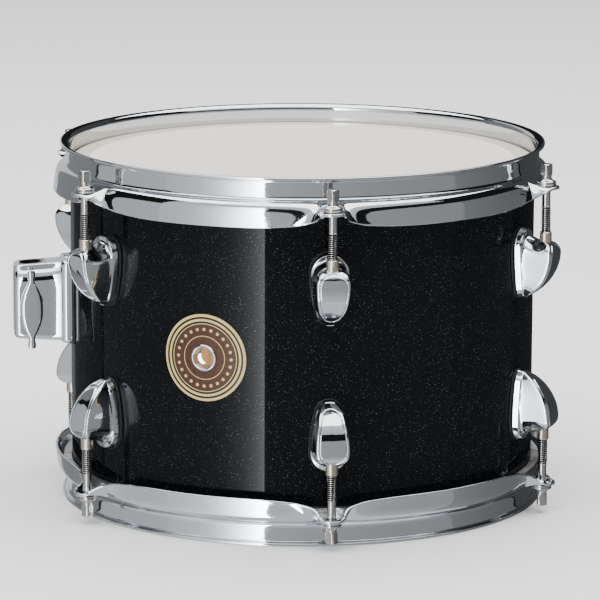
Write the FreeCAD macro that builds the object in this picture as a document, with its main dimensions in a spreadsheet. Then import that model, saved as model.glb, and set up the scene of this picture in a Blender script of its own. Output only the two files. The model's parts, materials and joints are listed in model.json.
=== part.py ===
import FreeCAD, Part
import math
import os

import Sketcher
from FreeCAD import Placement, Rotation, Vector

# Rack tom: a double-headed drum standing on its lower hoop.
# Frame: origin on the drum's axis in the plane it stands on, +Z up.
# Tension rod 1 is at -Y, the holder bracket at -X.
# Each repeated piece is drawn in one local frame: radius towards -Y, height 0 at mid-shell.
# A turn about Z then carries it to its place, and a half turn about its own radius to the lower half.

DIMENSIONS = [
    ("drum_height", 195.0, "rim to rim"),
    ("station_count", 6, "rods and lugs to a head"),
    # shell
    ("shell_outer", 126.0, "radius of the bare shell"),
    ("shell_wall", 6.0, "plywood thickness"),
    ("wrap_thickness", 0.6, ""),
    ("wrap_reach", 84.6, "half length of the wrap"),
    ("edge_round", 1.4, "outer round of the bearing edge"),
    ("film_drop", 10.0, "rim down to the playing surface"),
    ("film_thickness", 0.25, ""),
    ("collar_round", 2.55, "outer radius of the film's collar bend"),
    ("collar_depth", 9.9, "playing surface down to the collar's end"),
    # flesh hoop, the ring that holds the film
    ("flesh_inner", 127.25, "radius"),
    ("flesh_outer", 131.2, "radius"),
    ("flesh_drop", 15.1, "rim down to the ring's top"),
    ("flesh_depth", 5.4, ""),
    # counter hoop
    ("hoop_inner", 127.5, "inner radius of the wall"),
    ("hoop_sheet", 1.6, "steel thickness"),
    ("flange_reach", 4.5, "inner wall to the flange's edge"),
    ("bore_depth", 9.6, "straight bore of the wall, rim down to where it opens out"),
    ("bend_drop", 13.2, "rim down to the foot of that opening"),
    ("bend_reach", 0.6, "how far it opens"),
    ("shoulder_drop", 11.7, "rim down to the shoulder"),
    ("shoulder_reach", 5.5, "inner wall to the shoulder's edge"),
    ("shoulder_fall", 2.6, "height lost across the shoulder"),
    ("skirt_reach", 8.5, "inner wall to the skirt's lower edge"),
    ("skirt_drop", 26.3, "rim down to the skirt's lower edge"),
    # ears of the counter hoop
    ("ear_drop", 15.8, "rim down to the ear's top"),
    ("ear_thickness", 2.2, ""),
    ("ear_half", 6.9, "half width of the ear at the rod"),
    ("ear_side", 1.7, "how far the ear's straight sides run past the rod"),
    ("ear_round", 7.1, "radius of the ear's end"),
    ("ear_root", 131.8, "radius where the ear begins"),
    ("ear_root_half", 14.0, "half width of the ear there"),
    ("scallop_top_half", 6.8, "half width of the scallop at the ear"),
    ("scallop_foot_half", 13.0, "half width of the scallop at the skirt's edge"),
    ("ear_hole", 3.2, "radius"),
    ("plating_hole", 1.3, "radius of the hole the lower hoop was hung by"),
    ("plating_hole_drop", 10.4, "rim down to it"),
    # tension rods and washers
    ("rod_circle", 141.7, "radius of the rods' circle"),
    ("washer_outer", 5.3, "radius"),
    ("washer_inner", 2.9, "radius"),
    ("washer_thickness", 1.0, ""),
    ("collar_radius", 5.15, "rod's flange"),
    ("collar_rim", 1.3, "thickness of the flange's rim"),
    ("collar_cone", 1.3, "height of the cone above the rim"),
    ("neck_radius", 3.0, "top of that cone"),
    ("head_square", 5.3, "across the flats"),
    ("head_height", 8.1, ""),
    ("head_chamfer", 0.5, ""),
    ("shank_radius", 2.3, ""),
    ("shank_length", 12.7, "under the flange"),
    ("thread_radius", 2.7, ""),
    ("rod_length", 40.7, "under the flange"),
    # lugs
    ("seat_radius", 127.4, "back of lugs and bracket, outside their gaskets"),
    ("foot_front", 131.5, "radius of the lug foot's front"),
    ("foot_half", 10.6, "half width of the foot"),
    ("foot_centre", 47.9, "height of the foot's round end"),
    ("foot_tip_radius", 7.6, ""),
    ("foot_tip_centre", 27.0, "height"),
    ("lug_front", 148.3, "radius of the lug's face"),
    ("lug_half", 8.9, "half width of the lug"),
    ("lug_centre", 44.1, "height of the lug's round end"),
    ("lug_tip_radius", 6.2, ""),
    ("lug_tip_centre", 25.5, "height"),
    ("face_centre", 46.5, "height where the face curve starts"),
    ("face_radius", 28.2, "curve of the face in side view"),
    ("lip_run", 2.3, "chamfer over the face, inwards"),
    ("lip_rise", 5.2, "the same, upwards"),
    ("cavity_half", 5.6, "half width of the hollow in the lug's back"),
    ("cavity_floor", 31.5, "height"),
    ("cavity_roof", 48.1, "height"),
    ("cavity_wall", 1.6, "casting thickness behind the face"),
    # swivel nuts
    ("nut_radius", 3.3, ""),
    ("nut_bore", 2.75, "radius"),
    ("nut_hole", 3.4, "radius of the hole in the lug's roof"),
    ("nut_top", 56.7, "height"),
    ("nut_bottom", 43.5, "height"),
    ("nut_flange_radius", 4.2, ""),
    ("nut_flange_depth", 1.5, ""),
    # screws from inside the shell
    ("screw_high", 53.2, "height of the outer lug screw"),
    ("screw_low", 27.0, "height of the inner lug screw"),
    ("screw_radius", 1.95, ""),
    ("screw_hole", 2.1, "radius"),
    ("screw_end", 130.6, "radius from the drum's axis"),
    ("screw_head_radius", 3.8, ""),
    ("screw_head_depth", 2.4, ""),
    ("screw_washer_radius", 5.0, ""),
    ("screw_washer_depth", 0.8, ""),
    ("screw_washer_seat", 119.85, "outer face, from the drum's axis"),
    # badge and air vent
    ("badge_radius", 23.1, ""),
    ("badge_thickness", 0.5, ""),
    ("vent_bore", 5.5, "radius"),
    ("vent_tube", 6.2, "radius"),
    ("vent_hole", 6.25, "radius"),
    ("vent_flange", 7.2, "radius"),
    ("vent_flange_depth", 1.2, ""),
    ("vent_inner_seat", 119.7, "inner flange's seat, from the drum's axis"),
    # holder bracket
    ("bracket_height", 11.4, "middle of the bracket above mid-shell"),
    ("plate_half_width", 14.0, ""),
    ("plate_half_height", 23.0, ""),
    ("plate_front", 132.2, "radius"),
    ("block_back", -9.5, "side of the block away from the wing bolt"),
    ("block_front", 12.5, "side of the block under the wing bolt"),
    ("block_root_half", 21.6, "half height at the plate"),
    ("block_end_half", 20.0, "half height at the end"),
    ("block_end", 158.2, "radius of the block's end"),
    ("block_round", 2.6, "edge radius"),
    ("bore_circle", 149.0, "radius of the holder rod's axis"),
    ("bore_radius", 5.6, ""),
    ("bolt_height", 8.6, "wing bolt's axis above mid-shell"),
    ("bolt_radius", 3.95, ""),
    ("bolt_hole", 4.0, "radius"),
    ("bolt_tip", 8.9, "side offset of the bolt's end"),
    ("hub_back", 13.8, "side offset of the hub's back"),
    ("hub_front", 20.4, "side offset of the hub's front"),
    ("hub_radius", 5.3, ""),
    ("wing_back", 15.4, "side offset of the wings' back"),
    ("wing_thickness", 3.8, ""),
    ("wing_half_span", 21.5, ""),
    ("wing_root_half", 6.2, ""),
    ("wing_neck_half", 1.7, ""),
    ("wing_neck", 15.4, "hub axis to the neck"),
    ("wing_tip_half", 2.2, ""),
    ("wing_tip", 19.3, "hub axis to the tip's centre"),
    ("slot_near", 4.4, "side offset of the shoe's slot"),
    ("slot_far", 10.4, ""),
    ("slot_half_width", 6.0, ""),
    ("slot_half_height", 9.0, ""),
    ("shoe_near", 5.85, "side offset of the shoe"),
    ("shoe_far", 8.85, ""),
    ("shoe_gap", 0.2, "shoe to slot"),
    ("bracket_screw_radius", 2.9, ""),
    ("bracket_screw_hole", 3.0, "radius"),
    ("bracket_screw_side", 6.0, "offset from the bracket's middle"),
    ("bracket_screw_rise", 15.5, "offset from the bracket's middle height"),
    ("bracket_screw_end", 141.0, "radius"),
    ("bracket_screw_head", 5.0, "radius"),
    ("bracket_screw_head_depth", 3.0, ""),
    ("bracket_screw_lift", 0.52, "head's flat seat under the plate's curved face"),
    ("backing_inner", 117.8, "radius"),
    ("backing_outer", 119.8, "radius"),
]

doc = FreeCAD.newDocument("rack_tom")
sheet = doc.addObject("Spreadsheet::Sheet", "dims")
for row, (alias, number, note) in enumerate(DIMENSIONS, start=1):
    sheet.set(f"A{row}", alias)
    sheet.set(f"B{row}", str(number))
    sheet.set(f"C{row}", note)
    sheet.setAlias(f"B{row}", alias)
doc.recompute()

STATIONS = int(sheet.station_count)
STEP_DEG = 360.0 / STATIONS
BADGE_DEG = -0.5 * STEP_DEG
BRACKET_DEG = -90.0
PLATING_HOLE_DEG = 54.0
REACH = 200.0
SECTOR_DEG = 30.0

# Heights above mid-shell of the main levels, as expressions over the sheet.
RIM = "dims.drum_height / 2"
FILM_TOP = f"{RIM} - dims.film_drop"
EDGE_TOP = f"{FILM_TOP} - dims.film_thickness"
EAR_TOP = f"{RIM} - dims.ear_drop"
FLANGE_BOTTOM = f"{EAR_TOP} + dims.washer_thickness"
HEAD_BOTTOM = f"{FLANGE_BOTTOM} + dims.collar_rim + dims.collar_cone"
WRAP_OUTER = "dims.shell_outer + dims.wrap_thickness"

nodes = []


def value(expression):
    """The number that an expression over the sheet stands for."""
    return float(sheet.evalExpression(expression))


def place(feature, angle_deg=0.0, lower=False):
    """Lift a piece from its local frame to its station, in the upper or lower half."""
    turn = Rotation(Vector(0, 0, 1), angle_deg)
    if lower:
        turn = turn.multiply(Rotation(Vector(0, 1, 0), 180))
    feature.Placement = Placement(Vector(0, 0, value(RIM)), turn)
    return feature


def keep(feature, label):
    """Name a finished piece and list it for export."""
    feature.Label = label
    nodes.append(feature)
    return feature


def new_body(name):
    return doc.addObject("PartDesign::Body", name)


def origin_plane(body, role):
    """One of the body's own origin planes, found by its role."""
    return next(item for item in body.Origin.OriginFeatures if item.Role == role)


def new_sketch(body, name, role, offset=None, turn_deg=None):
    """An empty sketch on an origin plane, moved out along the plane's normal if asked."""
    sketch = body.newObject("Sketcher::SketchObject", name)
    sketch.AttachmentSupport = (origin_plane(body, role), [""])
    sketch.MapMode = "FlatFace"
    if turn_deg is not None:
        sketch.AttachmentOffset = Placement(Vector(0, 0, 0), Rotation(Vector(0, 1, 0), turn_deg))
    if offset is not None:
        sketch.setExpression("AttachmentOffset.Base.z", offset)
    return sketch


def bind(sketch, kind, *arguments):
    """Add a driving constraint whose last argument is an expression."""
    *where, expression = arguments
    index = sketch.addConstraint(Sketcher.Constraint(kind, *where, value(expression)))
    sketch.setExpression(f"Constraints[{index}]", expression)


def pin_vertex(sketch, edge, end, across, up):
    """Fix a vertex by its two distances from the sketch's origin."""
    bind(sketch, "DistanceX", -1, 1, edge, end, across)
    bind(sketch, "DistanceY", -1, 1, edge, end, up)


def add_arc(sketch, centre, radius, start_deg, end_deg):
    circle = Part.Circle(centre, Vector(0, 0, 1), radius)
    arc = Part.ArcOfCircle(circle, math.radians(start_deg), math.radians(end_deg))
    return sketch.addGeometry(arc, False)


def arc_through(sketch, first, last, radius, bulge):
    """An arc from first to last; bulge +1 lies left of the chord, -1 right. Also its end numbers."""
    chord = last - first
    middle = (first + last) * 0.5
    left = Vector(-chord.y, chord.x, 0).normalize()
    rise = math.sqrt(radius**2 - (chord.Length / 2) ** 2)
    centre = middle - left * (bulge * rise)
    angles = [math.degrees(math.atan2((p - centre).y, (p - centre).x)) for p in (first, last)]
    if bulge > 0:
        angles.reverse()
    start, end = angles
    if end < start:
        end += 360
    edge = add_arc(sketch, centre, radius, start, end)
    return edge, ((2, 1) if bulge > 0 else (1, 2))


def draw_outline(sketch, vertices, arcs=None):
    """A closed outline. vertices are pairs of expressions; arcs maps an edge's index to
    (radius expression, bulge) where that edge is round."""
    arcs = arcs or {}
    points = [Vector(value(across), value(up), 0) for across, up in vertices]
    ends = []
    for index, first in enumerate(points):
        last = points[(index + 1) % len(points)]
        if index in arcs:
            radius, bulge = arcs[index]
            edge, (start, end) = arc_through(sketch, first, last, value(radius), bulge)
            bind(sketch, "Radius", edge, radius)
        else:
            edge = sketch.addGeometry(Part.LineSegment(first, last), False)
            start, end = 1, 2
        ends.append((edge, start, end))
    for index, (edge, start, _) in enumerate(ends):
        before, _, before_end = ends[index - 1]
        sketch.addConstraint(Sketcher.Constraint("Coincident", before, before_end, edge, start))
        pin_vertex(sketch, edge, start, *vertices[index])
    return sketch


def draw_box(sketch, left, right, low, high):
    return draw_outline(sketch, [(left, low), (right, low), (right, high), (left, high)])


def draw_circle(sketch, across, up, radius):
    centre = Vector(value(across), value(up), 0)
    edge = sketch.addGeometry(Part.Circle(centre, Vector(0, 0, 1), value(radius)), False)
    bind(sketch, "Radius", edge, radius)
    pin_vertex(sketch, edge, 3, across, up)
    return sketch


def draw_axis(sketch, first, last):
    """A construction line that a revolution turns about."""
    ends = [Vector(value(across), value(up), 0) for across, up in (first, last)]
    edge = sketch.addGeometry(Part.LineSegment(*ends), True)
    pin_vertex(sketch, edge, 1, *first)
    pin_vertex(sketch, edge, 2, *last)


def draw_egg(sketch, half_width, centre, tip_radius, tip_centre):
    """A round top end and a smaller round tip, joined by two long arcs tangent to both."""
    wide, high, tip, low = (value(text) for text in (half_width, centre, tip_radius, tip_centre))
    drop = high - low
    flank = (wide**2 + drop**2 - tip**2) / (2 * (wide - tip))
    lean = math.degrees(math.asin(drop / (flank - tip)))
    top = add_arc(sketch, Vector(0, high, 0), wide, 0, 180)
    left = add_arc(sketch, Vector(flank - wide, high, 0), flank, 180, 180 + lean)
    foot = add_arc(sketch, Vector(0, low, 0), tip, 180 + lean, 360 - lean)
    right = add_arc(sketch, Vector(wide - flank, high, 0), flank, -lean, 0)
    loop = [top, left, foot, right]
    for before, after in zip(loop, loop[1:] + loop[:1]):
        sketch.addConstraint(Sketcher.Constraint("Tangent", before, 2, after, 1))
    bind(sketch, "Radius", top, half_width)
    bind(sketch, "Radius", foot, tip_radius)
    pin_vertex(sketch, top, 3, "0", centre)
    pin_vertex(sketch, foot, 3, "0", tip_centre)
    for end in (1, 2):
        bind(sketch, "DistanceY", -1, 1, top, end, centre)
    return sketch


def pad(body, sketch, length, reverse=False):
    feature = body.newObject("PartDesign::Pad", "Pad")
    feature.Profile = sketch
    feature.setExpression("Length", length)
    feature.Reversed = reverse
    return feature


def pocket(body, sketch, length=None, reverse=False, both_ways=False):
    """Cut towards the side opposite the sketch's normal, the normal's own side, or both."""
    feature = body.newObject("PartDesign::Pocket", "Pocket")
    feature.Profile = sketch
    feature.setExpression("Length", length or str(REACH))
    feature.Reversed = reverse
    feature.Midplane = both_ways
    return feature


def revolve(body, sketch, axis="V_Axis", angle_deg=360.0):
    feature = body.newObject("PartDesign::Revolution", "Revolution")
    feature.Profile = sketch
    feature.ReferenceAxis = (sketch, [axis])
    feature.Angle = angle_deg
    feature.Midplane = angle_deg < 360
    return feature


def repeat_round(body, features):
    """Repeat features about the drum's axis, once for each station."""
    axis = origin_plane(body, "Z_Axis")
    pattern = body.newObject("PartDesign::PolarPattern", "PolarPattern")
    pattern.Originals = features
    pattern.Axis = (axis, [""])
    pattern.Angle = 360
    pattern.setExpression("Occurrences", "dims.station_count")
    body.Tip = pattern
    return pattern


def cut_seat(body, radius):
    """Hollow the back of a piece to sit on a cylinder about the drum's axis."""
    sketch = draw_circle(new_sketch(body, "SeatSketch", "XY_Plane"), "0", "0", radius)
    return pocket(body, sketch, both_ways=True, length=str(2 * REACH))


def curved_plate(name, inner, outer, half_height, middle="0"):
    """A patch of a tube about the drum's axis, facing -Y, to be trimmed to its outline."""
    body = new_body(name)
    sketch = new_sketch(body, "TubeSketch", "YZ_Plane")
    low = f"{middle} - {half_height}"
    high = f"{middle} + {half_height}"
    draw_box(sketch, f"-({outer})", f"-({inner})", low, high)
    revolve(body, sketch, angle_deg=SECTOR_DEG)
    return body


def frame_round(sketch, middle="0"):
    """A large square around an outline, so that a pocket cuts all but the outline."""
    far = "60"
    return draw_box(sketch, f"-{far}", far, f"{middle} - {far}", f"{middle} + {far}")


# ---------------------------------------------------------------- shell


def drill_shell(body):
    """Holes for the lug screws, the bracket screws and the air vent."""
    lugs = new_sketch(body, "LugHoles", "XZ_Plane")
    for height in ("dims.screw_high", "dims.screw_low"):
        for sign in ("", "-"):
            draw_circle(lugs, "0", sign + height, "dims.screw_hole")
    cut = pocket(body, lugs, reverse=True)
    repeat_round(body, [cut])
    bracket = new_sketch(body, "BracketHoles", "XZ_Plane", turn_deg=BRACKET_DEG)
    draw_bracket_holes(bracket)
    pocket(body, bracket, reverse=True)
    vent = new_sketch(body, "VentHole", "XZ_Plane", turn_deg=BADGE_DEG)
    draw_circle(vent, "0", "0", "dims.vent_hole")
    pocket(body, vent, reverse=True)


def draw_bracket_holes(sketch):
    for side in ("-", ""):
        for rise in ("-", "+"):
            height = f"dims.bracket_height {rise} dims.bracket_screw_rise"
            draw_circle(sketch, f"{side}dims.bracket_screw_side", height, "dims.bracket_screw_hole")


def make_shell():
    body = new_body("Shell")
    sketch = new_sketch(body, "WallSketch", "XZ_Plane")
    inner = "dims.shell_outer - dims.shell_wall"
    crest = "dims.shell_outer - dims.edge_round"
    round_start = f"{EDGE_TOP} - dims.edge_round"
    bevel = f"{EDGE_TOP} - (dims.shell_wall - dims.edge_round)"
    vertices = [
        ("dims.shell_outer", f"-({round_start})"),
        ("dims.shell_outer", round_start),
        (crest, EDGE_TOP),
        (inner, bevel),
        (inner, f"-({bevel})"),
        (crest, f"-({EDGE_TOP})"),
    ]
    draw_outline(sketch, vertices, {1: ("dims.edge_round", -1), 5: ("dims.edge_round", -1)})
    revolve(body, sketch)
    drill_shell(body)
    keep(place(body), "shell")


def make_wrap():
    body = new_body("Wrap")
    sketch = new_sketch(body, "WrapSketch", "XZ_Plane")
    draw_box(sketch, "dims.shell_outer", WRAP_OUTER, "-dims.wrap_reach", "dims.wrap_reach")
    revolve(body, sketch)
    drill_shell(body)
    keep(place(body), "shell_wrap")


# ---------------------------------------------------------------- heads


def make_film(label, lower):
    """Playing surface, bent over the bearing edge into a collar outside the shell."""
    body = new_body("Film")
    sketch = new_sketch(body, "FilmSketch", "XZ_Plane")
    bend = "dims.shell_outer - dims.edge_round"
    outer = f"{bend} + dims.collar_round"
    inner = f"{outer} - dims.film_thickness"
    bend_height = f"{FILM_TOP} - dims.collar_round"
    foot = f"{FILM_TOP} - dims.collar_depth"
    vertices = [
        ("0", EDGE_TOP),
        (bend, EDGE_TOP),
        (inner, bend_height),
        (inner, foot),
        (outer, foot),
        (outer, bend_height),
        (bend, FILM_TOP),
        ("0", FILM_TOP),
    ]
    rounds = {1: ("dims.collar_round - dims.film_thickness", 1), 5: ("dims.collar_round", -1)}
    draw_outline(sketch, vertices, rounds)
    revolve(body, sketch)
    keep(place(body, lower=lower), label)


def make_flesh_hoop(label, lower):
    """Ring that holds the film's collar, under the counter hoop's shoulder."""
    body = new_body("FleshHoop")
    sketch = new_sketch(body, "RingSketch", "XZ_Plane")
    top = f"{RIM} - dims.flesh_drop"
    draw_box(sketch, "dims.flesh_inner", "dims.flesh_outer", f"{top} - dims.flesh_depth", top)
    revolve(body, sketch)
    keep(place(body, lower=lower), label)


def make_hoop(label, lower):
    """Pressed counter hoop: flange, wall, shoulder, flared skirt and six ears."""
    body = new_body("Hoop")
    section = new_sketch(body, "SectionSketch", "XZ_Plane")
    wall = "dims.hoop_inner"
    sheet_wall = f"{wall} + dims.hoop_sheet"
    shoulder = f"{RIM} - dims.shoulder_drop"
    shoulder_edge = f"{wall} + dims.shoulder_reach"
    shoulder_low = f"{shoulder} - dims.shoulder_fall"
    skirt_edge = f"{wall} + dims.skirt_reach"
    skirt_low = f"{RIM} - dims.skirt_drop"
    vertices = [
        (wall, RIM),
        (f"{wall} + dims.flange_reach", RIM),
        (f"{wall} + dims.flange_reach", f"{RIM} - dims.hoop_sheet"),
        (sheet_wall, f"{RIM} - dims.hoop_sheet"),
        (sheet_wall, shoulder),
        (shoulder_edge, shoulder_low),
        (skirt_edge, skirt_low),
        (f"{skirt_edge} - dims.hoop_sheet", skirt_low),
        (f"{shoulder_edge} - dims.hoop_sheet", f"{shoulder_low} - dims.hoop_sheet / 2"),
        (f"{wall} + dims.bend_reach", f"{RIM} - dims.bend_drop"),
        (wall, f"{RIM} - dims.bore_depth"),
    ]
    draw_outline(section, vertices)
    revolve(body, section)

    scallop = new_sketch(body, "ScallopSketch", "XZ_Plane")
    ear_low = f"{EAR_TOP} - dims.ear_thickness"
    below = f"{skirt_low} - 1"
    vertices = [
        ("-dims.scallop_foot_half", below),
        ("dims.scallop_foot_half", below),
        ("dims.scallop_top_half", ear_low),
        ("-dims.scallop_top_half", ear_low),
    ]
    draw_outline(scallop, vertices)
    opening = pocket(body, scallop, reverse=True)

    plan = new_sketch(body, "EarSketch", "XY_Plane", offset=ear_low)
    vertices = [
        ("dims.ear_root_half", "-dims.ear_root"),
        ("-dims.ear_root_half", "-dims.ear_root"),
        ("-dims.ear_half", "-(dims.rod_circle - dims.ear_side)"),
        ("-dims.ear_half", "-(dims.rod_circle + dims.ear_side)"),
        ("dims.ear_half", "-(dims.rod_circle + dims.ear_side)"),
        ("dims.ear_half", "-(dims.rod_circle - dims.ear_side)"),
    ]
    draw_outline(plan, vertices, {3: ("dims.ear_round", -1)})
    ear = pad(body, plan, "dims.ear_thickness")
    hole_sketch = new_sketch(body, "EarHoleSketch", "XY_Plane", offset=f"{EAR_TOP} + 1")
    draw_circle(hole_sketch, "0", "-dims.rod_circle", "dims.ear_hole")
    hole = pocket(body, hole_sketch, "dims.ear_thickness + 2")
    repeat_round(body, [opening, ear, hole])
    if lower:
        hung = new_sketch(body, "PlatingHole", "XZ_Plane", turn_deg=PLATING_HOLE_DEG)
        draw_circle(hung, "0", f"{RIM} - dims.plating_hole_drop", "dims.plating_hole")
        pocket(body, hung, reverse=True)
    keep(place(body, lower=lower), label)


# ---------------------------------------------------------------- tension rods


def make_washer(label, angle_deg, lower):
    body = new_body("Washer")
    sketch = new_sketch(body, "WasherSketch", "XY_Plane", offset=EAR_TOP)
    for radius in ("dims.washer_outer", "dims.washer_inner"):
        draw_circle(sketch, "0", "-dims.rod_circle", radius)
    pad(body, sketch, "dims.washer_thickness")
    keep(place(body, angle_deg, lower), label)


def make_rod(label, angle_deg, lower, head_turn_deg):
    """Square-headed rod: thread, plain shank, flange, cone and head."""
    body = new_body("Rod")
    sketch = new_sketch(body, "TurnedSketch", "YZ_Plane")
    thread_top = f"{FLANGE_BOTTOM} - dims.shank_length"
    thread_end = f"{FLANGE_BOTTOM} - dims.rod_length"
    rim_top = f"{FLANGE_BOTTOM} + dims.collar_rim"
    steps = [
        ("0", thread_end),
        ("dims.thread_radius", thread_end),
        ("dims.thread_radius", thread_top),
        ("dims.shank_radius", thread_top),
        ("dims.shank_radius", FLANGE_BOTTOM),
        ("dims.collar_radius", FLANGE_BOTTOM),
        ("dims.collar_radius", rim_top),
        ("dims.neck_radius", HEAD_BOTTOM),
        ("0", HEAD_BOTTOM),
    ]
    draw_outline(sketch, [(f"{radius} - dims.rod_circle", height) for radius, height in steps])
    draw_axis(sketch, ("-dims.rod_circle", thread_end), ("-dims.rod_circle", HEAD_BOTTOM))
    revolve(body, sketch, axis="Axis0")

    square = new_sketch(body, "HeadSketch", "XY_Plane", offset=HEAD_BOTTOM)
    corner = "dims.head_square / sqrt(2)"
    turns = [head_turn_deg + quarter for quarter in (0, 90, 180, 270)]
    corners = [
        (f"{corner} * cos({turn} deg)", f"{corner} * sin({turn} deg) - dims.rod_circle")
        for turn in turns
    ]
    draw_outline(square, corners)
    head = pad(body, square, "dims.head_height")
    doc.recompute()
    top = max(range(len(head.Shape.Faces)), key=lambda i: head.Shape.Faces[i].CenterOfMass.z)
    chamfer = body.newObject("PartDesign::Chamfer", "HeadChamfer")
    chamfer.Base = (head, [f"Face{top + 1}"])
    chamfer.setExpression("Size", "dims.head_chamfer")
    keep(place(body, angle_deg, lower), label)


# ---------------------------------------------------------------- lugs


def make_lug(label, angle_deg, lower):
    """Hollow die-cast lug: an oval foot on the shell and a tear-shaped block in front of it."""
    body = new_body("Lug")
    foot = new_sketch(body, "FootSketch", "XZ_Plane", offset="dims.shell_outer")
    draw_egg(foot, "dims.foot_half", "dims.foot_centre", "dims.foot_tip_radius", "dims.foot_tip_centre")
    pad(body, foot, "dims.foot_front - dims.shell_outer")
    front = new_sketch(body, "FrontSketch", "XZ_Plane", offset="dims.shell_outer")
    draw_egg(front, "dims.lug_half", "dims.lug_centre", "dims.lug_tip_radius", "dims.lug_tip_centre")
    pad(body, front, "dims.lug_front - dims.shell_outer")

    side = new_sketch(body, "SideSketch", "YZ_Plane")
    beyond = "-(dims.lug_front + 5)"
    above = "dims.face_centre + 2 * dims.lip_rise"
    below = "dims.lug_tip_centre - dims.lug_tip_radius - 0.5"
    inward = f"dims.face_radius - sqrt(dims.face_radius^2 - (dims.face_centre - ({below}))^2)"
    vertices = [
        (beyond, below),
        (beyond, above),
        ("-(dims.lug_front - 2 * dims.lip_run)", above),
        ("-dims.lug_front", "dims.face_centre"),
        (f"-(dims.lug_front - ({inward}))", below),
    ]
    draw_outline(side, vertices, {3: ("dims.face_radius", -1)})
    pocket(body, side, both_ways=True)

    cavity = new_sketch(body, "CavitySketch", "YZ_Plane")
    inner_radius = "(dims.face_radius - dims.cavity_wall)"
    inner_front = "(dims.lug_front - dims.cavity_wall)"
    drop = "(dims.face_centre - dims.cavity_floor)"
    floor_front = f"-({inner_front} - {inner_radius} + sqrt({inner_radius}^2 - {drop}^2))"
    vertices = [
        ("-dims.shell_outer", "dims.cavity_floor"),
        ("-dims.shell_outer", "dims.cavity_roof"),
        (f"-{inner_front}", "dims.cavity_roof"),
        (f"-{inner_front}", "dims.face_centre"),
        (floor_front, "dims.cavity_floor"),
    ]
    draw_outline(cavity, vertices, {3: (inner_radius, -1)})
    pocket(body, cavity, "2 * dims.cavity_half", both_ways=True)

    roof = new_sketch(body, "NutHoleSketch", "XY_Plane", offset="dims.nut_top")
    draw_circle(roof, "0", "-dims.rod_circle", "dims.nut_hole")
    pocket(body, roof, "dims.nut_top - dims.face_centre")
    screws = new_sketch(body, "ScrewHoleSketch", "XZ_Plane")
    for height in ("dims.screw_high", "dims.screw_low"):
        draw_circle(screws, "0", height, "dims.screw_radius")
    pocket(body, screws, "dims.screw_end", reverse=True)
    cut_seat(body, "dims.seat_radius")
    keep(place(body, angle_deg, lower), label)


def master_nut():
    """Swivel nut: a sleeve through the lug's roof, with a flange under it."""
    body = new_body("Nut")
    sketch = new_sketch(body, "NutSketch", "YZ_Plane")
    flange_top = "(dims.cavity_roof - 0.05)"
    flange_low = f"{flange_top} - dims.nut_flange_depth"
    steps = [
        ("dims.nut_bore", "dims.nut_bottom"),
        ("dims.nut_radius", "dims.nut_bottom"),
        ("dims.nut_radius", flange_low),
        ("dims.nut_flange_radius", flange_low),
        ("dims.nut_flange_radius", flange_top),
        ("dims.nut_radius", flange_top),
        ("dims.nut_radius", "dims.nut_top"),
        ("dims.nut_bore", "dims.nut_top"),
    ]
    draw_outline(sketch, [(f"{radius} - dims.rod_circle", height) for radius, height in steps])
    draw_axis(sketch, ("-dims.rod_circle", "dims.nut_bottom"), ("-dims.rod_circle", "dims.nut_top"))
    revolve(body, sketch, axis="Axis0")
    return body


def master_gasket():
    """Thin rubber pad between a lug's foot and the wrap."""
    body = curved_plate("Gasket", WRAP_OUTER, "dims.seat_radius", "60")
    outline = frame_round(new_sketch(body, "OutlineSketch", "XZ_Plane"))
    draw_egg(outline, "dims.foot_half", "dims.foot_centre", "dims.foot_tip_radius", "dims.foot_tip_centre")
    pocket(body, outline, reverse=True)
    holes = new_sketch(body, "HoleSketch", "XZ_Plane")
    for height in ("dims.screw_high", "dims.screw_low"):
        draw_circle(holes, "0", height, "dims.screw_hole")
    pocket(body, holes, reverse=True)
    return body


def master_pin(name, steps):
    """A turned piece whose axis is the local radius; steps are (distance out, radius)."""
    body = new_body(name)
    sketch = new_sketch(body, "TurnedSketch", "YZ_Plane")
    draw_outline(sketch, [(f"-({out})", radius) for out, radius in steps])
    revolve(body, sketch, axis="H_Axis")
    return body


def master_screw(name, shank, head_radius, head_depth, seat, end):
    """Pan-head screw driven outwards from inside the shell."""
    start = f"({seat}) - ({head_depth})"
    steps = [(start, "0"), (start, head_radius), (seat, head_radius)]
    steps += [(seat, shank), (end, shank), (end, "0")]
    return master_pin(name, steps)


def make_group(label, master, placements):
    """Identical pieces in one node, each a solid of its own."""
    links = []
    for placement in placements:
        link = doc.addObject("App::Link", label + "_item")
        link.LinkedObject = master
        link.Placement = placement
        links.append(link)
    group = doc.addObject("Part::Compound", "Group")
    group.Links = links
    keep(group, label)


def station_placements(heights=("0",)):
    """One placement for each station of both halves, and for each height at that station."""
    spots = []
    for lower in (False, True):
        flip = Rotation(Vector(0, 1, 0), 180 if lower else 0)
        for index in range(STATIONS):
            turn = Rotation(Vector(0, 0, 1), index * STEP_DEG).multiply(flip)
            for height in heights:
                lift = turn.multVec(Vector(0, 0, value(height)))
                spots.append(Placement(lift + Vector(0, 0, value(RIM)), turn))
    return spots


# ---------------------------------------------------------------- badge and vent


def make_badge():
    """Thin round plate bent to the shell, around the air vent."""
    body = curved_plate("Badge", WRAP_OUTER, f"{WRAP_OUTER} + dims.badge_thickness", "60")
    outline = frame_round(new_sketch(body, "OutlineSketch", "XZ_Plane"))
    draw_circle(outline, "0", "0", "dims.badge_radius")
    pocket(body, outline, reverse=True)
    hole = draw_circle(new_sketch(body, "HoleSketch", "XZ_Plane"), "0", "0", "dims.vent_hole")
    pocket(body, hole, reverse=True)
    keep(place(body, BADGE_DEG), "badge")


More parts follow.
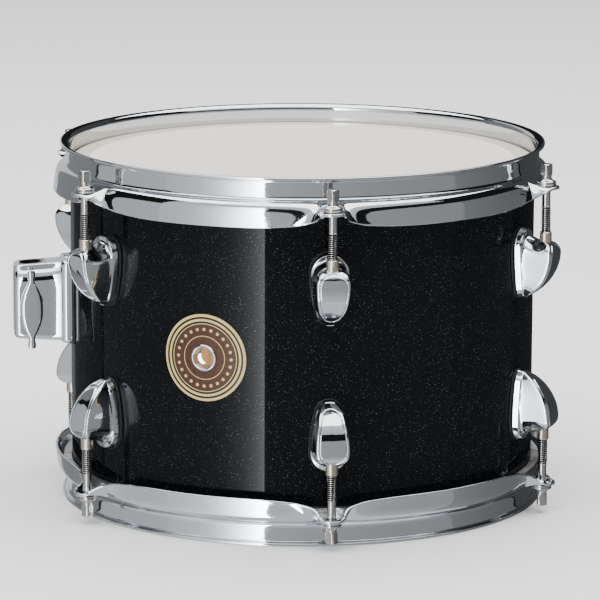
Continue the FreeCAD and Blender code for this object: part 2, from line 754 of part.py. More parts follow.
def make_vent():
    """Grommet of the air vent: a tube through the shell with a flange at each end."""
    seat = f"({WRAP_OUTER} + dims.badge_thickness)"
    front = f"{seat} + dims.vent_flange_depth"
    back = "dims.vent_inner_seat - dims.vent_flange_depth"
    steps = [
        (back, "dims.vent_bore"),
        (back, "dims.vent_flange"),
        ("dims.vent_inner_seat", "dims.vent_flange"),
        ("dims.vent_inner_seat", "dims.vent_tube"),
        (seat, "dims.vent_tube"),
        (seat, "dims.vent_flange"),
        (front, "dims.vent_flange"),
        (front, "dims.vent_bore"),
    ]
    body = master_pin("Vent", steps)
    keep(place(body, BADGE_DEG), "vent_grommet")


# ---------------------------------------------------------------- holder bracket


def draw_block_end(body, name, offset, half_height):
    sketch = new_sketch(body, name, "XZ_Plane", offset=offset)
    low = f"dims.bracket_height - {half_height}"
    high = f"dims.bracket_height + {half_height}"
    return draw_box(sketch, "dims.block_back", "dims.block_front", low, high)


def long_edges(shape):
    """Names of the block's four edges that run outwards, and of the outline of its end."""
    names = []
    for index, edge in enumerate(shape.Edges, start=1):
        outwards = [-vertex.Point.y for vertex in edge.Vertexes]
        beyond_plate = min(outwards) > value("dims.plate_front") - 0.01
        reaches_end = max(outwards) > value("dims.block_end") - 0.01
        if beyond_plate and reaches_end:
            names.append(f"Edge{index}")
    return names


def make_bracket():
    """Receiver casting: a curved plate on the shell and a block with the holder rod's bore."""
    body = new_body("Bracket")
    plate = new_sketch(body, "PlateSketch", "XZ_Plane", offset="dims.shell_outer")
    low = "dims.bracket_height - dims.plate_half_height"
    high = "dims.bracket_height + dims.plate_half_height"
    draw_box(plate, "-dims.plate_half_width", "dims.plate_half_width", low, high)
    pad(body, plate, "dims.plate_front - dims.shell_outer")
    root = draw_block_end(body, "RootSketch", "dims.plate_front", "dims.block_root_half")
    tip = draw_block_end(body, "TipSketch", "dims.block_end", "dims.block_end_half")
    block = body.newObject("PartDesign::AdditiveLoft", "Block")
    block.Profile = root
    block.Sections = [tip]
    block.Ruled = True
    doc.recompute()
    rounds = body.newObject("PartDesign::Fillet", "BlockRounds")
    rounds.Base = (block, long_edges(block.Shape))
    rounds.setExpression("Radius", "dims.block_round")

    bore = new_sketch(body, "BoreSketch", "XY_Plane")
    draw_circle(bore, "0", "-dims.bore_circle", "dims.bore_radius")
    pocket(body, bore, both_ways=True)
    slot = new_sketch(body, "SlotSketch", "YZ_Plane", offset="dims.slot_far")
    near = "-(dims.bore_circle + dims.slot_half_width)"
    far = "-(dims.bore_circle - dims.slot_half_width)"
    slot_low = "dims.bolt_height - dims.slot_half_height"
    slot_high = "dims.bolt_height + dims.slot_half_height"
    draw_box(slot, near, far, slot_low, slot_high)
    pocket(body, slot, "dims.slot_far - dims.slot_near")
    tapped = new_sketch(body, "TappedSketch", "YZ_Plane", offset="dims.block_front + 1")
    draw_circle(tapped, "-dims.bore_circle", "dims.bolt_height", "dims.bolt_hole")
    pocket(body, tapped, "dims.block_front + 1 - dims.slot_near")
    screws = new_sketch(body, "ScrewSketch", "XZ_Plane")
    for side in ("-", ""):
        for rise in ("-", "+"):
            height = f"dims.bracket_height {rise} dims.bracket_screw_rise"
            draw_circle(screws, f"{side}dims.bracket_screw_side", height, "dims.bracket_screw_radius")
    pocket(body, screws, "dims.bracket_screw_end", reverse=True)
    cut_seat(body, "dims.seat_radius")
    keep(place(body, BRACKET_DEG), "holder_bracket")


def make_bracket_patch(label, name, inner, outer):
    """Gasket or backing plate: a curved patch with the bracket's outline and screw holes."""
    body = curved_plate(name, inner, outer, "60", "dims.bracket_height")
    outline = frame_round(new_sketch(body, "OutlineSketch", "XZ_Plane"), "dims.bracket_height")
    low = "dims.bracket_height - dims.plate_half_height"
    high = "dims.bracket_height + dims.plate_half_height"
    draw_box(outline, "-dims.plate_half_width", "dims.plate_half_width", low, high)
    pocket(body, outline, reverse=True)
    holes = new_sketch(body, "HoleSketch", "XZ_Plane")
    draw_bracket_holes(holes)
    pocket(body, holes, reverse=True)
    keep(place(body, BRACKET_DEG), label)


def make_shoe():
    """Clamp shoe between the wing bolt and the holder rod."""
    body = new_body("Shoe")
    sketch = new_sketch(body, "ShoeSketch", "YZ_Plane", offset="dims.shoe_near")
    half_width = "(dims.slot_half_width - dims.shoe_gap)"
    half_height = "(dims.slot_half_height - dims.shoe_gap)"
    low = f"dims.bolt_height - {half_height}"
    high = f"dims.bolt_height + {half_height}"
    draw_box(sketch, f"-dims.bore_circle - {half_width}", f"-dims.bore_circle + {half_width}", low, high)
    pad(body, sketch, "dims.shoe_far - dims.shoe_near")
    keep(place(body, BRACKET_DEG), "clamp_shoe")


def make_wing_bolt():
    """Threaded shank, round hub and two flat wings with knobbed tips."""
    body = new_body("WingBolt")
    shank = new_sketch(body, "ShankSketch", "XZ_Plane", offset="dims.bore_circle")
    steps = [
        ("dims.bolt_tip", "0"),
        ("dims.bolt_tip", "dims.bolt_radius"),
        ("dims.hub_back", "dims.bolt_radius"),
        ("dims.hub_back", "dims.hub_radius"),
        ("dims.hub_front", "dims.hub_radius"),
        ("dims.hub_front", "0"),
    ]
    draw_outline(shank, [(out, f"dims.bolt_height + {radius}") for out, radius in steps])
    draw_axis(shank, ("dims.bolt_tip", "dims.bolt_height"), ("dims.hub_front", "dims.bolt_height"))
    revolve(body, shank, axis="Axis0")

    wings = new_sketch(body, "WingSketch", "YZ_Plane", offset="dims.wing_back")
    quarter = [
        ("dims.wing_root_half", "0"),
        ("dims.wing_neck_half", "dims.wing_neck"),
        ("dims.wing_tip_half", "dims.wing_tip"),
        ("dims.wing_tip_half / 2", "dims.wing_half_span"),
    ]
    upper = quarter + [(f"-{half}", rise) for half, rise in reversed(quarter)]
    lower = [(f"-{half}", f"-({rise})") for half, rise in quarter[1:]]
    lower += [(half, f"-({rise})") for half, rise in reversed(quarter[1:])]
    outline = upper + lower
    placed = [(f"{half} - dims.bore_circle", f"{rise} + dims.bolt_height") for half, rise in outline]
    draw_outline(wings, placed)
    pad(body, wings, "dims.wing_thickness")
    keep(place(body, BRACKET_DEG), "wing_bolt")


def bracket_screw_placements():
    turn = Rotation(Vector(0, 0, 1), BRACKET_DEG)
    spots = []
    for side in (-1, 1):
        for rise in (-1, 1):
            across = side * value("dims.bracket_screw_side")
            height = value("dims.bracket_height") + rise * value("dims.bracket_screw_rise")
            offset = turn.multVec(Vector(across, 0, height))
            spots.append(Placement(offset + Vector(0, 0, value(RIM)), turn))
    return spots


# ---------------------------------------------------------------- assembly

make_shell()
make_wrap()
for side, is_lower in (("batter", False), ("resonant", True)):
    make_film(f"{side}_film", is_lower)
    make_flesh_hoop(f"{side}_flesh_hoop", is_lower)
    make_hoop(f"{side}_hoop", is_lower)
    for station in range(STATIONS):
        angle = station * STEP_DEG
        make_washer(f"{side}_washer_{station + 1}", angle, is_lower)
        make_rod(f"{side}_rod_{station + 1}", angle, is_lower, head_turn_deg=20 + 26 * station)
        make_lug(f"{side}_lug_{station + 1}", angle, is_lower)

make_group("lug_nuts", master_nut(), station_placements())
make_group("lug_gaskets", master_gasket(), station_placements())
washer_seat = "dims.screw_washer_seat - dims.screw_washer_depth"
lug_screw = master_screw(
    "LugScrew",
    "dims.screw_radius",
    "dims.screw_head_radius",
    "dims.screw_head_depth",
    washer_seat,
    "dims.screw_end",
)
make_group("lug_screws", lug_screw, station_placements(("dims.screw_high", "dims.screw_low")))
washer_steps = [
    (washer_seat, "dims.screw_hole"),
    (washer_seat, "dims.screw_washer_radius"),
    ("dims.screw_washer_seat", "dims.screw_washer_radius"),
    ("dims.screw_washer_seat", "dims.screw_hole"),
]
lug_screw_washer = master_pin("LugScrewWasher", washer_steps)
make_group("lug_screw_washers", lug_screw_washer, station_placements(("dims.screw_high", "dims.screw_low")))

make_badge()
make_vent()
make_bracket()
make_bracket_patch("bracket_gasket", "BracketGasket", WRAP_OUTER, "dims.seat_radius")
make_bracket_patch("bracket_backing_plate", "BackingPlate", "dims.backing_inner", "dims.backing_outer")
make_shoe()
make_wing_bolt()
bracket_screw = master_screw(
    "BracketScrew",
    "dims.bracket_screw_radius",
    "dims.bracket_screw_head",
    "dims.bracket_screw_head_depth",
    "dims.backing_inner - dims.bracket_screw_lift",
    "dims.bracket_screw_end",
)
make_group("bracket_screws", bracket_screw, bracket_screw_placements())

doc.recompute()
for item in doc.Objects:
    if any(state in ("Invalid", "Error") for state in item.State):
        raise RuntimeError(f"{item.Name} ({item.Label}) failed: {item.State}")

os.makedirs("parts", exist_ok=True)
for node in nodes:
    shape = node.Shape
    if shape.isNull() or not shape.isValid():
        raise RuntimeError(f"{node.Label} has no valid shape")
    shape.exportStep(f"parts/{node.Label}.step")
    print(node.Label, len(shape.Solids), round(shape.Volume, 1))
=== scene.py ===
import json
import math

import bmesh
import bpy
import numpy as np
from mathutils import Matrix, Vector


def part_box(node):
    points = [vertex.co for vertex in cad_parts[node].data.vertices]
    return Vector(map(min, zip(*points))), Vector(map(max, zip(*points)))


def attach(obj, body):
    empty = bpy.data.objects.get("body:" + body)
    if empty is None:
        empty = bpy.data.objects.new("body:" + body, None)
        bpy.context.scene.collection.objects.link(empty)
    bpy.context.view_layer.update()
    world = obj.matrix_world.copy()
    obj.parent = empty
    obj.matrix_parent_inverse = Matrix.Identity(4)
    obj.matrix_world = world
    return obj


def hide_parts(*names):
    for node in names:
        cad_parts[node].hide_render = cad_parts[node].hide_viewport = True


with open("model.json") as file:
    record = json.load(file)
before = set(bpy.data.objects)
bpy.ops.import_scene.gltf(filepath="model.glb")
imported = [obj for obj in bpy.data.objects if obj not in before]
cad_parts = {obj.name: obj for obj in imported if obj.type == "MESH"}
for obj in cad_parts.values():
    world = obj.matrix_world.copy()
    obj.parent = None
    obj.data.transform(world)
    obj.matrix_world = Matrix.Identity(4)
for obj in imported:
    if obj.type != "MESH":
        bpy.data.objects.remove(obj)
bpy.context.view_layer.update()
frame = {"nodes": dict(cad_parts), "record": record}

# Looks of a rack tom drum. Pieces are drawn in millimetres in the same local frame as the CAD:
# the radius runs towards -Y, and height 0 is at mid-shell. local_matrix() scales and places them.
MM = 0.001
MOUNTS = {mount["name"]: mount for mount in frame["record"]["mounts"]}


def middle(node, axis):
    """Middle of a CAD node along a row axis, in millimetres."""
    low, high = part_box(node)
    return (low[axis] + high[axis]) / 2 / MM


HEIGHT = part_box("batter_hoop")[1].z / MM
HALF = HEIGHT / 2
STATIONS = 6
STEP = 360.0 / STATIONS
BADGE_DEG = -STEP / 2
BRACKET_DEG = -90.0
HALVES = (("batter", False), ("resonant", True))
ROD_CIRCLE = -middle("batter_rod_1", 1)
WRAP_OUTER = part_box("shell_wrap")[1].x / MM
WRAP_REACH = round(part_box("shell_wrap")[1].z / MM - HALF, 1)
HOOP_INNER = MOUNTS["batter_hoop_bore"]["dims"]["r_mm"]
VENT_HOLE = 6.25
BADGE_OUTER = 23.1
BADGE_THICK = 0.5


# ---------------------------------------------------------------- mesh helpers


def local_matrix(angle_deg=0.0, lower=False):
    """From the local frame in millimetres to the row frame in metres."""
    turn = Matrix.Rotation(math.radians(angle_deg), 4, "Z")
    flip = Matrix.Rotation(math.pi if lower else 0.0, 4, "Y")
    return Matrix.Translation((0, 0, HALF * MM)) @ turn @ flip @ Matrix.Scale(MM, 4)


def new_object(name, points, faces, matrix, material):
    """A smooth mesh whose vertices are already in the row frame."""
    mesh = bpy.data.meshes.new(name)
    mesh.from_pydata([tuple(p) for p in points], [], [tuple(f) for f in faces])
    mesh.transform(matrix)
    mesh.materials.append(material)
    mesh.polygons.foreach_set("use_smooth", [True] * len(mesh.polygons))
    mesh.update()
    thing = bpy.data.objects.new(name, mesh)
    bpy.context.scene.collection.objects.link(thing)
    return thing


def loft(rings, cap_first=False, cap_last=False, closed=False):
    """Faces between rings of equal length, each ring a closed loop. Returns points and faces."""
    rings = [np.asarray(ring, float) for ring in rings]
    count = len(rings[0])
    points = np.concatenate(rings)
    faces = []
    spans = len(rings) if closed else len(rings) - 1
    for row in range(spans):
        base, above = row * count, ((row + 1) % len(rings)) * count
        for column in range(count):
            after = (column + 1) % count
            faces.append((base + column, base + after, above + after, above + column))
    if cap_first:
        faces.append(tuple(reversed(range(count))))
    if cap_last:
        start = (len(rings) - 1) * count
        faces.append(tuple(range(start, start + count)))
    return points, faces


def circle_ring(radius, height, count):
    turn = np.linspace(0, 2 * math.pi, count, endpoint=False)
    radius = np.broadcast_to(radius, turn.shape)
    return np.column_stack([radius * np.cos(turn), radius * np.sin(turn), np.full(count, height)])


def lathe(profile, count=64, closed=True, **caps):
    """Rings about Z from (radius, height) pairs."""
    return loft([circle_ring(radius, height, count) for radius, height in profile], closed=closed, **caps)


def joined(parts):
    """Several (points, faces) lists as one."""
    points, faces, base = [], [], 0
    for part_points, part_faces in parts:
        points.append(np.asarray(part_points, float))
        faces += [tuple(index + base for index in face) for face in part_faces]
        base += len(part_points)
    return np.concatenate(points), faces


def shifted(part, offset):
    points, faces = part
    return np.asarray(points, float) + np.asarray(offset, float), faces


def add_modifier(thing, kind, **settings):
    modifier = thing.modifiers.new(kind.title(), kind)
    for key, setting in settings.items():
        setattr(modifier, key, setting)
    return modifier


def bake_modifiers(thing):
    """Replace the mesh by the result of its modifiers."""
    bpy.context.view_layer.update()
    graph = bpy.context.evaluated_depsgraph_get()
    mesh = bpy.data.meshes.new_from_object(thing.evaluated_get(graph))
    thing.modifiers.clear()
    thing.data = mesh


def smooth_by_angle(thing, angle_deg=35.0):
    """Keep sharp edges sharp and the rest smooth."""
    thing.data.set_sharp_from_angle(angle=math.radians(angle_deg))


def smooth_all(thing, angle_deg):
    """Smooth every face of a mesh that modifiers have rebuilt, then keep its sharp edges."""
    thing.data.polygons.foreach_set("use_smooth", [True] * len(thing.data.polygons))
    smooth_by_angle(thing, angle_deg)


def bevel_edges(thing, width, angle_deg):
    """Round the edges that are sharper than an angle. The width is in millimetres."""
    limit = math.radians(angle_deg)
    add_modifier(thing, "BEVEL", width=width * MM, segments=3, limit_method="ANGLE", angle_limit=limit)
    bake_modifiers(thing)


def paint_shade(thing, values):
    """Mark vertices for painted shade, drawn near black: the thread roots and the wall of a bore."""
    thing.data.attributes.new("painted_shade", "FLOAT", "POINT").data.foreach_set("value", values)


def merge_close(thing, distance):
    """Weld the vertices that lie within a distance of each other."""
    work = bmesh.new()
    work.from_mesh(thing.data)
    bmesh.ops.remove_doubles(work, verts=work.verts, dist=distance)
    work.to_mesh(thing.data)
    work.free()


def drill(thing, *cutters):
    """Cut closed cutters out of a piece, and remove the cutters."""
    for cutter in cutters:
        add_modifier(thing, "BOOLEAN", operation="DIFFERENCE", solver="EXACT", object=cutter)
    bake_modifiers(thing)
    for cutter in cutters:
        bpy.data.objects.remove(cutter)


def cutter_cylinder(radius, low, high, matrix, centre=(0, 0, 0), axis="Z"):
    """A closed cylinder along a local axis, from low to high, through the centre given."""
    points, faces = lathe([(radius, low), (radius, high)], closed=False, cap_first=True, cap_last=True)
    if axis == "X":
        points = points[:, [2, 0, 1]]
    if axis == "Y":
        points = points[:, [1, 2, 0]]
    return new_object("cutter", points + np.asarray(centre, float), faces, matrix, MATERIALS["chrome"])


def finish_piece(thing, body, slot, *nodes):
    """The body a piece rides on, and the CAD nodes it stands for, which are hidden. Its material slot is
    not used.
    """
    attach(thing, body)
    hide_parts(*nodes)


# ---------------------------------------------------------------- materials


def new_material(name, base, roughness, metallic=0.0, **sockets):
    """A Principled material. Its number sockets are set by their own names."""
    material = bpy.data.materials.new(name)
    material.use_nodes = True
    shader = material.node_tree.nodes["Principled BSDF"]
    shader.inputs["Base Color"].default_value = (*base, 1)
    shader.inputs["Roughness"].default_value = roughness
    shader.inputs["Metallic"].default_value = metallic
    for key, number in sockets.items():
        shader.inputs[key.replace("_", " ")].default_value = number
    return material


class Nodes:
    """Short calls for building a material's node tree."""

    def __init__(self, material):
        self.tree = material.node_tree
        self.shader = self.tree.nodes["Principled BSDF"]
        self.place = self.tree.nodes.new("ShaderNodeTexCoord").outputs["Object"]

    def node(self, kind, inputs=None, **settings):
        made = self.tree.nodes.new("ShaderNode" + kind)
        for key, setting in settings.items():
            setattr(made, key, setting)
        for key, source in (inputs or {}).items():
            self.feed(source, made.inputs[key])
        return made

    def feed(self, source, socket):
        if isinstance(source, bpy.types.NodeSocket):
            self.tree.links.new(source, socket)
        else:
            socket.default_value = source

    def noise(self, scale, detail=3.0, rough=0.5, place=None):
        inputs = {"Vector": place or self.place, "Scale": scale, "Detail": detail, "Roughness": rough}
        return self.node("TexNoise", inputs).outputs["Fac"]

    def maths(self, operation, first, second=0.0, clamp=False):
        return self.node("Math", {0: first, 1: second}, operation=operation, use_clamp=clamp).outputs[0]

    def remap(self, source, low, high, out_low, out_high):
        inputs = {"Value": source, "From Min": low, "From Max": high, "To Min": out_low, "To Max": out_high}
        return self.node("MapRange", inputs).outputs["Result"]

    def mix(self, factor, first, second):
        inputs = {"Factor": factor, 6: first, 7: second}
        return self.node("Mix", inputs, data_type="RGBA").outputs[2]

    def stretched(self, scale):
        return self.node("Mapping", {"Vector": self.place, "Scale": scale}).outputs["Vector"]

    def bump(self, height, strength, distance):
        inputs = {"Height": height, "Strength": strength, "Distance": distance}
        normal = self.node("Bump", inputs).outputs["Normal"]
        self.tree.links.new(normal, self.shader.inputs["Normal"])

    def colour(self, source):
        self.feed(source, self.shader.inputs["Base Color"])

    def roughness(self, source):
        self.feed(source, self.shader.inputs["Roughness"])


def make_chrome():
    """Bright plating, with a faint orange peel and cleaner's smears in its gloss."""
    material = new_material("chrome", (0.61, 0.63, 0.655), 0.05, metallic=1.0)
    n = Nodes(material)
    smear = n.noise(38.0, 5.0, 0.6)
    # Painted shade: marked vertices, the wall of a bore, turn near black and get a rougher gloss.
    bore_shade = n.node("Attribute", attribute_name="painted_shade").outputs["Fac"]
    n.roughness(n.maths("ADD", n.remap(smear, 0.35, 0.75, 0.03, 0.10), n.maths("MULTIPLY", bore_shade, 0.5)))
    tone = n.noise(9.0, 2.0)
    plated = n.mix(tone, (0.58, 0.60, 0.625, 1), (0.64, 0.66, 0.685, 1))
    n.colour(n.mix(bore_shade, plated, (0.012, 0.012, 0.013, 1)))
    n.bump(n.noise(260.0, 2.0), 0.05, 0.0004)
    return material


def make_steel():
    """Turned and plated steel of rods and washers, a little warmer and duller than the chrome."""
    material = new_material("steel", (0.66, 0.63, 0.60), 0.2, metallic=1.0)
    n = Nodes(material)
    turning = n.noise(60.0, 3.0, 0.6, n.stretched((1.0, 1.0, 40.0)))
    n.roughness(n.remap(turning, 0.3, 0.7, 0.12, 0.24))
    plain = n.mix(n.noise(300.0), (0.42, 0.40, 0.385, 1), (0.55, 0.53, 0.51, 1))
    # Painted shade: the thread roots that are marked for it turn near black.
    painted_shade = n.node("Attribute", attribute_name="painted_shade").outputs["Fac"]
    n.colour(n.mix(painted_shade, plain, (0.006, 0.006, 0.006, 1)))
    n.bump(turning, 0.12, 0.0002)
    return material


def make_nickel():
    """Beige nickel of the nut sleeves, brushed upright."""
    material = new_material("nickel", (0.60, 0.52, 0.43), 0.3, metallic=1.0)
    n = Nodes(material)
    brush = n.noise(900.0, 2.0, 0.6, n.stretched((1.0, 1.0, 0.06)))
    n.roughness(n.remap(brush, 0.3, 0.7, 0.22, 0.42))
    n.colour(n.mix(brush, (0.50, 0.43, 0.35, 1), (0.70, 0.62, 0.52, 1)))
    n.bump(brush, 0.2, 0.0002)
    return material


def make_zinc():
    material = new_material("zinc", (0.56, 0.57, 0.58), 0.35, metallic=1.0)
    n = Nodes(material)
    n.roughness(n.remap(n.noise(200.0, 4.0), 0.3, 0.7, 0.28, 0.5))
    n.colour(n.mix(n.noise(90.0), (0.48, 0.49, 0.50, 1), (0.62, 0.63, 0.62, 1)))
    return material


def make_aluminium():
    material = new_material("aluminium", (0.80, 0.80, 0.81), 0.3, metallic=1.0)
    n = Nodes(material)
    drawn = n.noise(700.0, 2.0, 0.6, n.stretched((0.1, 0.1, 1.0)))
    n.roughness(n.remap(drawn, 0.3, 0.7, 0.22, 0.4))
    n.bump(drawn, 0.1, 0.0002)
    return material


def make_sparkle():
    """Black wrap under a clear gloss, with silver flecks of many sizes and tilts."""
    gloss = {"Coat_Weight": 0.25, "Coat_Roughness": 0.03, "Coat_IOR": 1.4, "Specular_IOR_Level": 0.0}
    material = new_material("sparkle", (0.010, 0.012, 0.014), 0.45, **gloss)
    n = Nodes(material)
    # A lattice that is tilted to the drum's axis keeps the flecks from lining up in upright rows.
    tilted = n.node("Mapping", {"Vector": n.place, "Rotation": (0.7, 0.5, 0.3)}).outputs["Vector"]
    flecks = []
    for scale, size, least, gain in ((1500.0, 0.27, 0.60, 1.0), (2600.0, 0.32, 0.66, 0.45)):
        cells = n.node("TexVoronoi", {"Vector": tilted, "Scale": scale})
        chance = n.node("SeparateColor", {"Color": cells.outputs["Color"]}).outputs[0]
        near = n.remap(cells.outputs["Distance"], size, size * 0.55, 0.0, 1.0)
        bright = n.remap(chance, least, 1.0, 0.0, gain)
        flecks.append(n.maths("MULTIPLY", near, n.maths("POWER", bright, 1.8)))
    fleck = n.maths("ADD", *flecks, clamp=True)
    cloud = n.remap(n.noise(70.0, 4.0), 0.3, 0.75, 0.45, 1.25)
    fleck = n.maths("MULTIPLY", fleck, cloud, clamp=True)
    n.colour(n.mix(fleck, (0.0040, 0.0048, 0.0060, 1), (0.30, 0.32, 0.35, 1)))
    n.feed(n.maths("MULTIPLY", fleck, 0.7), n.shader.inputs["Metallic"])
    n.roughness(n.remap(fleck, 0.0, 1.0, 0.5, 0.3))
    return material


def make_film():
    """Coated film: off-white, a fine sprayed grain, and a clearer band near the rim."""
    material = new_material("film", (0.70, 0.68, 0.65), 0.55)
    n = Nodes(material)
    parts = n.node("SeparateXYZ", {"Vector": n.place})
    across, deep = (n.maths("POWER", parts.outputs[axis], 2.0) for axis in ("X", "Y"))
    radius = n.maths("SQRT", n.maths("ADD", across, deep))
    edge = n.remap(radius, 0.1150, 0.1165, 0.0, 1.0)
    grain = n.noise(1500.0, 3.0, 0.7)
    patch = n.noise(14.0, 3.0)
    coated = n.mix(patch, (0.70, 0.67, 0.635, 1), (0.76, 0.73, 0.695, 1))
    n.colour(n.mix(edge, coated, (0.66, 0.60, 0.52, 1)))
    n.roughness(n.remap(edge, 0.0, 1.0, 0.6, 0.28))
    n.bump(n.maths("MULTIPLY", grain, n.remap(edge, 0.0, 1.0, 1.0, 0.15)), 0.35, 0.00015)
    return material


def make_wood():
    """Plywood: pale veneer with grain along the height."""
    material = new_material("plywood", (0.55, 0.38, 0.22), 0.5)
    n = Nodes(material)
    grain = n.noise(240.0, 6.0, 0.65, n.stretched((1.0, 1.0, 0.05)))
    n.colour(n.mix(n.remap(grain, 0.3, 0.7, 0.0, 1.0), (0.42, 0.27, 0.15, 1), (0.68, 0.50, 0.31, 1)))
    n.roughness(n.remap(grain, 0.3, 0.7, 0.42, 0.6))
    n.bump(grain, 0.2, 0.0002)
    return material


def make_rubber():
    material = new_material("rubber", (0.018, 0.018, 0.019), 0.7)
    n = Nodes(material)
    grain = n.noise(1400.0, 4.0)
    n.roughness(n.remap(grain, 0.3, 0.7, 0.6, 0.85))
    n.bump(grain, 0.3, 0.0002)
    return material


def make_badge():
    """Enamel with plain rings and a ring of dots, drawn over the plate's UV, in millimetres."""
    material = new_material("badge", (0.8, 0.66, 0.36), 0.4, Specular_IOR_Level=0.22)
    n = Nodes(material)
    cream, line, brown = (0.82, 0.64, 0.27, 1), (0.012, 0.007, 0.006, 1), (0.070, 0.026, 0.016, 1)
    tan = (0.46, 0.34, 0.15, 1)
    flat = n.node("UVMap").outputs["UV"]
    radius = n.node("VectorMath", {0: flat}, operation="LENGTH").outputs["Value"]
    parts = n.node("SeparateXYZ", {"Vector": flat})
    bands = [(7.0, brown), (11.3, cream), (11.65, brown), (17.5, line), (17.8, cream), (18.2, line)]
    bands += [(19.35, cream), (20.55, line), (21.7, cream)]
    colour = tan
    for start, shade in bands:
        colour = n.mix(n.remap(radius, start - 0.08, start + 0.08, 0.0, 1.0), colour, shade)
    dots, dot_circle = 24, 15.1
    turn = n.maths("ARCTAN2", parts.outputs["Y"], parts.outputs["X"])
    along = n.maths("PINGPONG", n.maths("ADD", turn, 2 * math.pi), math.pi / dots)
    aside = n.maths("MULTIPLY", along, dot_circle)
    away = n.maths("SUBTRACT", radius, dot_circle)
    squares = n.maths("ADD", n.maths("POWER", aside, 2.0), n.maths("POWER", n.maths("ABSOLUTE", away), 2.0))
    dot = n.remap(n.maths("SQRT", squares), 0.75, 0.90, 1.0, 0.0)
    colour = n.mix(dot, colour, cream)
    worn = n.remap(n.noise(900.0, 4.0), 0.35, 0.7, 0.0, 0.10)
    n.colour(n.mix(worn, colour, (0.30, 0.22, 0.12, 1)))
    n.roughness(n.remap(n.noise(500.0), 0.3, 0.7, 0.25, 0.42))
    return material


MATERIALS = {
    "chrome": make_chrome(),
    "steel": make_steel(),
    "nickel": make_nickel(),
    "zinc_steel": make_zinc(),
    "aluminium": make_aluminium(),
    "sparkle_wrap": make_sparkle(),
    "film": make_film(),
    "birch_ply": make_wood(),
    "rubber": make_rubber(),
    "badge_enamel": make_badge(),
}


def dress_cad():
    """Give every CAD node the finish of its material slot."""
    slots = {part["node"]: part["material_slot"] for part in frame["record"]["subparts"]}
    for name, thing in frame["nodes"].items():
        thing.data.materials.clear()
        thing.data.materials.append(MATERIALS[slots[name]])


# ---------------------------------------------------------------- shell and heads


def build_wrap():
    """Glossy sheet around the shell, with eased ends and the vent's hole."""
    high, low = WRAP_REACH, -WRAP_REACH
    inner, outer, ease = 126.02, WRAP_OUTER, 0.15
    profile = [(inner, low), (outer - ease, low), (outer, low + ease), (outer, 0), (outer, high - ease)]
    profile += [(outer - ease, high), (inner, high)]
    points, faces = lathe(profile, count=360)
    wrap = new_object("wrap", points, faces, local_matrix(), MATERIALS["sparkle_wrap"])
    drill(wrap, cutter_cylinder(VENT_HOLE, -140, -100, local_matrix(BADGE_DEG), axis="Y"))
    smooth_by_angle(wrap)
    finish_piece(wrap, "drum", "sparkle_wrap", "shell_wrap")


def build_film(side, lower):
    """The film, with the roll over the bearing edge and the collar under it."""
    top, bend, reach, thick = HALF - 10.0, 124.6, 2.55, 0.25
    outer = [(0.01, top), (40.0, top), (80.0, top), (110.0, top), (122.5, top)]
    inner = []
    for step in range(9):
        turn = math.radians(90 - 90 * step / 8)
        for side_of_film, radius in ((outer, reach), (inner, reach - thick)):
            side_of_film.append((bend + radius * math.cos(turn), top - reach + radius * math.sin(turn)))
    foot = top - 9.9
    profile = outer + [(bend + reach, foot), (bend + reach - thick, foot)]
    profile += inner[::-1] + [(0.01, top - thick)]
    points, faces = lathe(profile, count=256, closed=False)
    film = new_object(f"{side}_head", points, faces, local_matrix(lower=lower), MATERIALS["film"])
    merge_close(film, 0.00002)
    finish_piece(film, "drum", "film", f"{side}_film")


# ---------------------------------------------------------------- counter hoops

SHEET = 1.6
FLANGE_EDGE = 132.0
# Edge of the pressed skirt: degrees from the nearest rod, its radius and its height.
EDGE_TURN = (0.0, 1.0, 1.8, 2.3, 2.6, 3.05, 3.7, 4.6, 5.6, 7.3, 9.7, 13.5, 18.0, 30.0)
EDGE_HEIGHT = (80.7, 80.7, 80.5, 79.6, 78.4, 77.0, 75.6, 74.7, 74.0, 73.0, 72.4, 71.8, 71.5, 71.4)
FLARE_TURN = (2.6, 3.05, 3.7, 4.6, 5.6, 7.3, 9.7, 13.5, 30.0)
FLARE_RADIUS = (143.6, 141.3, 139.2, 137.8, 136.9, 136.1, 135.5, 135.2, 135.1)
EAR_RADIUS = 7.2
EAR_END = 149.0
EAR_HOLE = 3.2
PLATING_HOLE, PLATING_DROP, PLATING_DEG = 1.45, 10.4, -54.0


def smooth_interp(x, xs, ys):
    """Monotone cubic through the given points."""
    xs, ys = np.asarray(xs, float), np.asarray(ys, float)
    slope = np.diff(ys) / np.diff(xs)
    tangent = np.concatenate([[slope[0]], (slope[1:] + slope[:-1]) / 2, [slope[-1]]])
    flat = np.concatenate([[False], slope[1:] * slope[:-1] <= 0, [False]])
    tangent[flat] = 0
    index = int(np.clip(np.searchsorted(xs, x) - 1, 0, len(xs) - 2))
    width = xs[index + 1] - xs[index]
    u = (x - xs[index]) / width
    a = (1 + 2 * u) * (1 - u) ** 2 * ys[index] + u * (1 - u) ** 2 * width * tangent[index]
    return a + u * u * (3 - 2 * u) * ys[index + 1] + u * u * (u - 1) * width * tangent[index + 1]


def skirt_edge(turn_deg):
    """Where the sheet ends, at an angle from the nearest rod: radius and height."""
    away = abs(turn_deg)
    height = smooth_interp(away, EDGE_TURN, EDGE_HEIGHT)
    if away < FLARE_TURN[0]:
        turn = math.radians(away)
        radius = ROD_CIRCLE * math.cos(turn)
        radius += math.sqrt(max(EAR_RADIUS**2 - (ROD_CIRCLE * math.sin(turn)) ** 2, 0.0))
        ear_end = smooth_interp(FLARE_TURN[0], FLARE_TURN, FLARE_RADIUS)
        return max(radius - 0.2, ear_end), height
    return smooth_interp(away, FLARE_TURN, FLARE_RADIUS), height


def bezier(points, count):
    """Points along a Bezier curve of any degree, without its first point."""
    curve = []
    degree = len(points) - 1
    for step in range(1, count + 1):
        u = step / count
        weights = [math.comb(degree, k) * u**k * (1 - u) ** (degree - k) for k in range(degree + 1)]
        curve.append(tuple(sum(w * p[axis] for w, p in zip(weights, points)) for axis in (0, 1)))
    return curve


